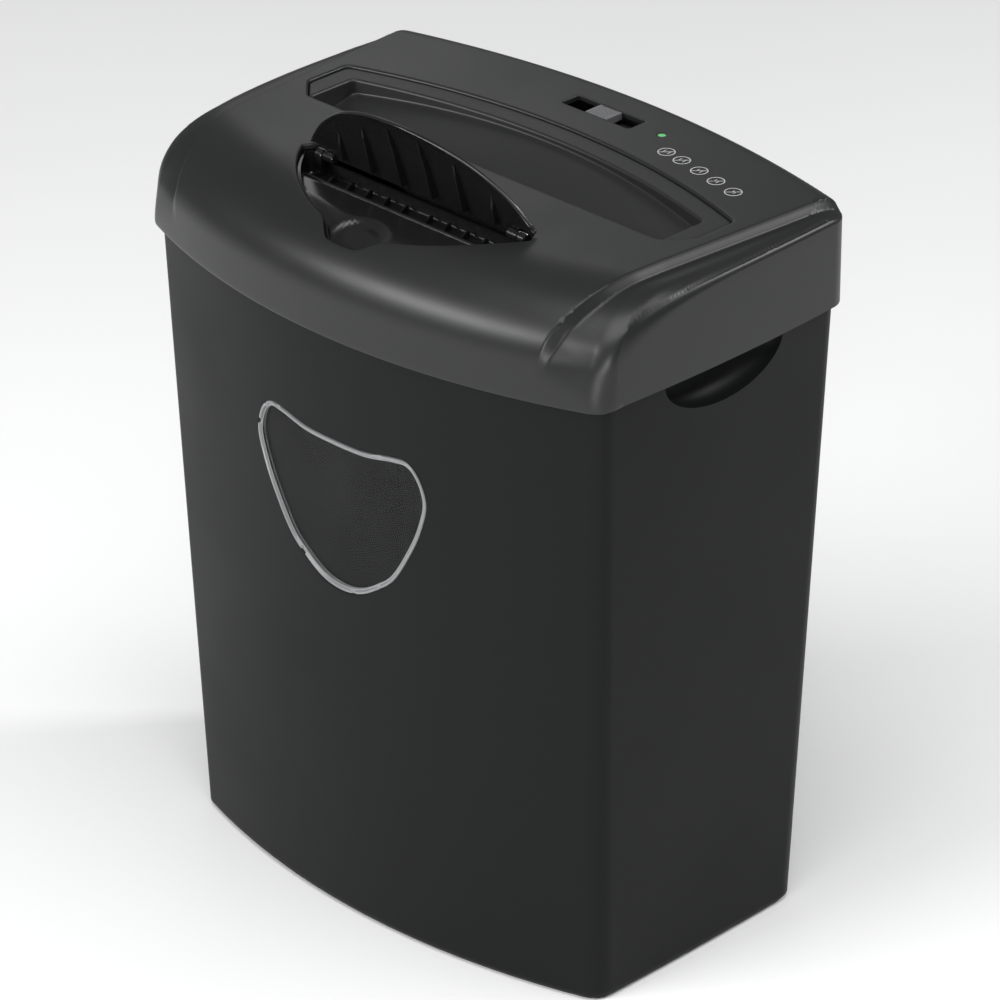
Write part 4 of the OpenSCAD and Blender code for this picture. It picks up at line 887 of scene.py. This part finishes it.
def flap_skin():
    half, front = BOAT_HALF - 1.1, BOAT_FRONT + 0.7
    r = arc_radius(half, BOAT_TIP - front)
    a = math.asin(half / r)
    arc = arc_points((0, front + r), r, -math.pi / 2 - a, -math.pi / 2 + a, 120)
    knuckle, behind = EAR_IN - 0.7, HINGE_Y + 1.5
    rear = [[half, BOAT_TIP], [knuckle, BOAT_TIP], [knuckle, behind], [-knuckle, behind], [-knuckle, BOAT_TIP]]
    radii = np.array([0.8] + [0] * (len(arc) - 1) + [0.8, 0.8, 1.2, 1.2, 0.8])
    edge = even_loop(rounded(np.concatenate([arc, rear]), radii, 6), 1.3)
    sheet, thickness = Sheet(), []
    # How far in from the edge, how far the outer skin rolls down, and how thick the flap is there.
    for inset, roll, thick in ((0, 0.7, 1.6), (0.12, 0.38, 1.95), (0.4, 0.1, 2.25), (0.8, 0, 2.3),
                               (1.4, 0, 2.3), (1.9, 0, 2.2), (2.4, 0, 2.05), (3.0, 0, 2.0)):
        sheet.add(swell(edge, -inset) if inset else edge, roll, "" if inset else "loop")
        thickness.append(np.full(len(edge), thick))
    grid = grid_of(np.arange(-74, 75, 1.8), np.arange(-90, -41, 1.8))
    grid = away_from(grid[in_loop(edge, grid)], sheet.parts, 0.9)
    sheet.add(grid)
    thickness.append(np.full(len(grid), FLAP_T))
    flat, roll = sheet.gathered()
    height = head_height(flat)
    faces = fill(flat, sheet.rows, lambda p: in_loop(edge, p))
    return shell_parts(np.c_[flat, height - roll], faces, np.c_[flat, height - np.concatenate(thickness)])


def flap_rib(x):
    ys = np.linspace(-84 + abs(x) * 0.12 + x * x * 0.0062, -45.5, 24)
    upper = head_height(np.stack([np.full(24, x), ys], 1)) - FLAP_T + 0.3
    lower = upper - 0.3 - 3.4 * ease((ys - ys[0]) / 10) * (0.55 + 0.45 * ease((ys - ys[0]) / 30)) - 0.2
    section = [(y, z) for y, z in zip(ys, lower)] + [(y, z) for y, z in zip(ys[::-1], upper[::-1])]
    return bar(x - 0.6, x + 0.6, section, 0.12)


flap_parts = [flap_skin(), *[flap_rib(s * x) for s in (-1, 1) for x in (10, 30, 50)]]
for sign in (-1, 1):
    x0, x1 = sorted((sign * (EAR_IN - 7), sign * (EAR_IN - 0.4)))
    flap_parts.append(round_bar(x0, x1, HINGE_Y, HINGE_Z, 2.5))
    x0, x1 = sorted((sign * (EAR_IN - 1), sign * (EAR_IN + EAR_T - 0.4)))
    flap_parts.append(round_bar(x0, x1, HINGE_Y, HINGE_Z, 1.5))
flap = join_meshes("disc_flap_moulding", flap_parts)
hinge_line = np.array([0, HINGE_Y, HINGE_Z]) * MM
cosine, sine = math.cos(FLAP_OPEN), math.sin(FLAP_OPEN)
swing = np.array([[1, 0, 0], [0, cosine, sine], [0, -sine, cosine]])
for v in flap.data.vertices:
    v.co = Vector(swing @ (np.array(v.co) - hinge_line) + hinge_line)
dress(flap, tray_black)
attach(flap, "disc_flap")
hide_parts("disc_flap")

# ---------------------------------------------------------------- function symbols
# The row of function symbols: five rings pad-printed in pale grey ink on the head's rear right,
# each round a plain generic sign. The print is a film a few hundredths of a millimetre thick.
SYMBOLS = [(53, 67.2), (64.6, 65.3), (78.4, 62.4), (91.8, 59.4), (105.7, 56.1)]
RING_R, RING_LINE, STROKE, INK = 4.1, 0.5, 0.4, 0.05


def ink_line(x, y, path, width):
    """A printed line: a flat strip along the path, lying on the head's top."""
    path = np.array(path, float)
    way = np.gradient(path, axis=0)
    way /= np.maximum(np.linalg.norm(way, axis=1, keepdims=True), 1e-9)
    across = np.stack([-way[:, 1], way[:, 0]], 1) * width / 2
    flat = np.concatenate([path + across, path - across]) + (x, y)
    n = len(path)
    heights = head_height(flat)
    faces = [(i + 1, i, n + i, n + i + 1) for i in range(n - 1)]
    top = np.column_stack([flat, heights + INK])
    foot = np.column_stack([flat, heights - 0.02])
    return shell_parts(top, [f[::-1] for f in faces], foot)


ink_parts = []
turns = np.linspace(0, 2 * math.pi, 41)
ring = np.stack([np.cos(turns), np.sin(turns)], 1) * RING_R
for k, (x, y) in enumerate(SYMBOLS):
    ink_parts.append(ink_line(x, y, ring, RING_LINE))
    # Inside: two short strokes, set a little differently in each, under one slanting bar.
    low, high = -1.5 + 0.25 * k, 1.7 - 0.15 * k
    for stroke in ([(low, -1.2), (low, 1.5)], [(high, -1.5), (high, 1.2)], [(-2.8, -2.8), (0, 0), (2.8, 2.8)]):
        ink_parts.append(ink_line(x, y, stroke, STROKE))
symbols = join_meshes("function_symbols", ink_parts)


def pale_ink():
    """Pad-printing ink: flat pale grey, a little thin in places."""
    paint, tree, skin = new_material("ink_pale_grey")
    place = node(tree, "ShaderNodeTexCoord").outputs["Object"]
    wear = node(tree, "ShaderNodeTexNoise", {"Scale": 900, "Detail": 3})
    tree.links.new(place, wear.inputs["Vector"])
    tone = shade_between(tree, wear.outputs["Fac"], (0.34, 0.34, 0.34), (0.5, 0.5, 0.49))
    tree.links.new(tone, skin.inputs["Base Color"])
    skin.inputs["Roughness"].default_value = 0.5
    return paint


dress(symbols, pale_ink())
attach(symbols, "head")

# ---------------------------------------------------------------- switch and status light
# The switch: an injection-moulded satin grey slider over a black body clipped under the head.
# The status light is a green diffused LED lens glued in its hole.
def dress_nodes(names, paint):
    for name in names:
        dress(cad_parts[name], paint)


def set_skin(paint, **settings):
    """Sets values that are the same all over on the paint's own shader."""
    for key, value in settings.items():
        paint.node_tree.nodes["Principled BSDF"].inputs[key.replace("_", " ")].default_value = value


SWITCH_GREY, LENS_GREEN = (0.1, 0.1, 0.104), (0.1, 0.42, 0.15)
dress_nodes(["switch_knob"], moulded("switch_grey_satin", SWITCH_GREY, 0.4, grain=0.3, depth=0.02))
dress_nodes(["switch_body"], moulded("switch_body_black", (0.014, 0.014, 0.0145), 0.45))
lens = moulded("lens_green", LENS_GREEN, 0.25, grain=0.2, depth=0.006)
set_skin(lens, Subsurface_Weight=0.3, Subsurface_Scale=0.001)
dress_nodes(["status_led"], lens)

# ---------------------------------------------------------------- lower housing and cord inlet
# The lower housing: a black moulded tub that carries the cutting frame, screwed up into the head.
# The inlet is a ribbed soft rubber grommet pressed into the rear wall.
RUBBER_BLACK = (0.011, 0.011, 0.0112)
housing_black = moulded("housing_black", INNER_BLACK, 0.5, grain=0.6, depth=0.05, specular=0.35)
dress_nodes(["lower_housing"], housing_black)
rubber = moulded("grommet_rubber", RUBBER_BLACK, 0.72, grain=0.25, depth=0.04, specular=0.3, uneven=0.12)
set_skin(rubber, Sheen_Weight=0.15)
dress_nodes(["cord_inlet"], rubber)


# ---------------------------------------------------------------- cutting frame
# Two stamped steel side plates joined by four turned tie rods, all zinc plated: a bluish bright
# grey with a cloudy crystal pattern and fine rolling lines.
def metal(name, colour, rough, line_way=(1, 1, 1), line=0.4, cloud=30, depth=0.01, uneven=0.12):
    """Bare metal: a cloudy tone, fine tool lines that run where line_way is small, and a patchy sheen."""
    paint, tree, skin = new_material(name)
    place = node(tree, "ShaderNodeTexCoord").outputs["Object"]
    stretch = node(tree, "ShaderNodeMapping")
    stretch.inputs["Scale"].default_value = line_way
    lines = node(tree, "ShaderNodeTexNoise", {"Scale": 1 / (line * MM), "Detail": 4, "Roughness": 0.65})
    patches = node(tree, "ShaderNodeTexNoise", {"Scale": cloud, "Detail": 5, "Roughness": 0.6})
    tree.links.new(place, stretch.inputs["Vector"])
    tree.links.new(stretch.outputs["Vector"], lines.inputs["Vector"])
    tree.links.new(place, patches.inputs["Vector"])
    dark, light = [c * (1 - uneven) for c in colour], [min(1, c * (1 + uneven)) for c in colour]
    tree.links.new(shade_between(tree, patches.outputs["Fac"], dark, light), skin.inputs["Base Color"])
    tree.links.new(spread(tree, lines.outputs["Fac"], rough * 0.8, rough * 1.25), skin.inputs["Roughness"])
    bump = node(tree, "ShaderNodeBump", {"Strength": 0.4, "Distance": depth * MM})
    tree.links.new(lines.outputs["Fac"], bump.inputs["Height"])
    tree.links.new(bump.outputs["Normal"], skin.inputs["Normal"])
    skin.inputs["Metallic"].default_value = 1
    return paint


zinc = metal("zinc_plate", (0.55, 0.57, 0.6), 0.34, (1, 0.05, 1), cloud=45)
dress_nodes(["left_plate", "right_plate"], zinc)
dress_nodes(["tie_rods"], metal("zinc_turned", (0.58, 0.6, 0.62), 0.28, (0.1, 1, 1), line=0.25))

# ---------------------------------------------------------------- cutters, shafts and bushes
# Two hexagonal shafts carry stamped and hardened cutter discs, dark from tempering and wet with a
# film of oil. They run in pressed bushes of sintered bronze.
OILED_STEEL, TEMPERED = (0.4, 0.41, 0.43), (0.3, 0.3, 0.31)
shaft_steel = metal("shaft_ground_steel", OILED_STEEL, 0.24, (0.08, 1, 1), line=0.2)
cutter_steel = metal("cutter_oiled_steel", TEMPERED, 0.3, (1, 0.3, 0.3), line=0.3, cloud=120, uneven=0.2)
for steel in (shaft_steel, cutter_steel):
    set_skin(steel, Coat_Weight=0.25, Coat_Roughness=0.12)
dress_nodes(["front_shaft", "rear_shaft"], shaft_steel)
dress_nodes(["front_cutters", "rear_cutters"], cutter_steel)
bush_bronze = metal("bronze_sintered", (0.5, 0.34, 0.16), 0.46, line=0.15, cloud=200, depth=0.03)
dress_nodes(["shaft_bushes"], bush_bronze)

# ---------------------------------------------------------------- stripper combs
# The combs between the discs strip the shreds off: moulded from glass-filled nylon, a warm
# off-white with short pale fibres showing in its matte skin.
COMB_NYLON = (0.5, 0.46, 0.38)
combs = moulded("comb_glass_nylon", COMB_NYLON, 0.55, grain=0.25, depth=0.04, specular=0.4, uneven=0.1)
dress_nodes(["front_comb", "rear_comb"], combs)

# ---------------------------------------------------------------- gear train
# Moulded nylon gears, greased: milky, slightly see-through plastic with a wet, streaky sheen. They
# turn on plain steel pins held by spring clips.
gear_nylon = moulded("gear_nylon", (0.66, 0.62, 0.53), 0.3, grain=0.6, depth=0.02, specular=0.5, uneven=0.08)
set_skin(gear_nylon, Subsurface_Weight=0.15, Subsurface_Scale=0.002, Coat_Weight=0.3, Coat_Roughness=0.2)
dress_nodes(["front_sync_gear", "rear_sync_gear", "drive_gear", "middle_gear", "first_gear"], gear_nylon)
dress_nodes(["gear_pins"], metal("pin_steel", (0.6, 0.61, 0.62), 0.2, (0.1, 1, 1), line=0.15))
dress_nodes(["pin_clips"], metal("clip_spring_steel", (0.24, 0.25, 0.28), 0.32, line=0.2))

# ---------------------------------------------------------------- motor
# A brushed mains motor: a drawn and plated steel can with two ferrite magnets, a wound armature
# with a brass pinion, carbon brushes in a black end cap, and a ceramic thermal cut-out on the can.
can_steel = metal("can_drawn_steel", (0.52, 0.53, 0.54), 0.3, (0.06, 1, 1), line=0.5, cloud=60)
dress_nodes(["motor_can"], can_steel)
dress_nodes(["motor_end_cap"], moulded("end_cap_black", (0.016, 0.016, 0.017), 0.42))
ferrite = moulded("ferrite_grey", (0.05, 0.05, 0.053), 0.6, grain=0.2, depth=0.05, uneven=0.15)
dress_nodes(["motor_magnets"], ferrite)
dress_nodes(["motor_pinion"], metal("pinion_brass", (0.66, 0.5, 0.24), 0.25, (0.1, 1, 1), line=0.15))
dress_nodes(["motor_brushes"], moulded("carbon_block", (0.02, 0.02, 0.021), 0.38, grain=0.15, depth=0.02))
dress_nodes(["thermal_cutout"], moulded("cutout_ceramic", (0.46, 0.41, 0.32), 0.5, grain=0.3, depth=0.03))


def wound_armature():
    """Enamelled copper wire over the iron core: fine parallel strands along the shaft, painted dark in their
    grooves as shade.
    """
    paint, tree, skin = new_material("armature_copper")
    place = node(tree, "ShaderNodeTexCoord").outputs["Object"]
    stretch = node(tree, "ShaderNodeMapping")
    stretch.inputs["Scale"].default_value = (0.15, 1, 1)
    strands = node(tree, "ShaderNodeTexWave", {"Scale": 420, "Distortion": 1.5, "Detail": 2})
    tree.links.new(place, stretch.inputs["Vector"])
    tree.links.new(stretch.outputs["Vector"], strands.inputs["Vector"])
    # The strand pattern drives the copper's tone: painted shade in the grooves between the wires, painted
    # highlight on their crowns.
    copper = shade_between(tree, strands.outputs["Fac"], (0.2, 0.07, 0.03), (0.52, 0.2, 0.09))
    tree.links.new(copper, skin.inputs["Base Color"])
    bump = node(tree, "ShaderNodeBump", {"Strength": 0.6, "Distance": 0.1 * MM})
    tree.links.new(strands.outputs["Fac"], bump.inputs["Height"])
    tree.links.new(bump.outputs["Normal"], skin.inputs["Normal"])
    skin.inputs["Metallic"].default_value = 0.85
    skin.inputs["Roughness"].default_value = 0.3
    return paint


dress_nodes(["motor_armature"], wound_armature())


# ---------------------------------------------------------------- control board
# A fibreglass board under green solder mask, its copper tracks faintly raised, with the relay and
# the capacitors standing on it as moulded and shrink-sleeved parts.
def board_laminate():
    """Solder mask over tracks: a blocky pattern of slightly lighter, slightly raised copper."""
    paint, tree, skin = new_material("board_solder_mask")
    place = node(tree, "ShaderNodeTexCoord").outputs["Object"]
    tracks = node(tree, "ShaderNodeTexVoronoi", {"Scale": 260}, distance="CHEBYCHEV", feature="F1")
    tree.links.new(place, tracks.inputs["Vector"])
    tone = spread(tree, tracks.outputs["Distance"], 0.0, 1.0)
    green = shade_between(tree, tone, (0.012, 0.07, 0.03), (0.02, 0.12, 0.05))
    tree.links.new(green, skin.inputs["Base Color"])
    bump = node(tree, "ShaderNodeBump", {"Strength": 0.5, "Distance": 0.04 * MM})
    tree.links.new(tone, bump.inputs["Height"])
    tree.links.new(bump.outputs["Normal"], skin.inputs["Normal"])
    skin.inputs["Roughness"].default_value = 0.3
    return paint


dress_nodes(["control_board"], board_laminate())
dress_nodes(["board_parts"], moulded("component_blue", (0.03, 0.05, 0.2), 0.32, grain=0.5, depth=0.01))

# ---------------------------------------------------------------- screws
# Pan-head and thread-forming screws, zinc plated: bright, with a soft cloudy sheen.
screw_zinc = metal("screw_zinc", (0.6, 0.61, 0.6), 0.3, line=0.2, cloud=300)
dress_nodes(["motor_screws", "board_screws", "housing_screws", "frame_screws"], screw_zinc)

# ---------------------------------------------------------------- sensor, safety switch and leads
# The paper sensor's arm and both switch cases are black mouldings; the plunger that the bin pushes
# up is red acetal. The leads are soft insulated wire in red and brown.
dress_nodes(["paper_sensor", "interlock_switch"], moulded("switch_case_black", (0.015, 0.015, 0.0155), 0.4))
dress_nodes(["interlock_plunger"], moulded("plunger_red", (0.42, 0.04, 0.025), 0.3, grain=0.3, depth=0.015))
dress_nodes(["motor_leads"], moulded("lead_red", (0.38, 0.02, 0.015), 0.45, grain=0.4, depth=0.02))
dress_nodes(["switch_leads"], moulded("lead_brown", (0.13, 0.05, 0.02), 0.45, grain=0.4, depth=0.02))
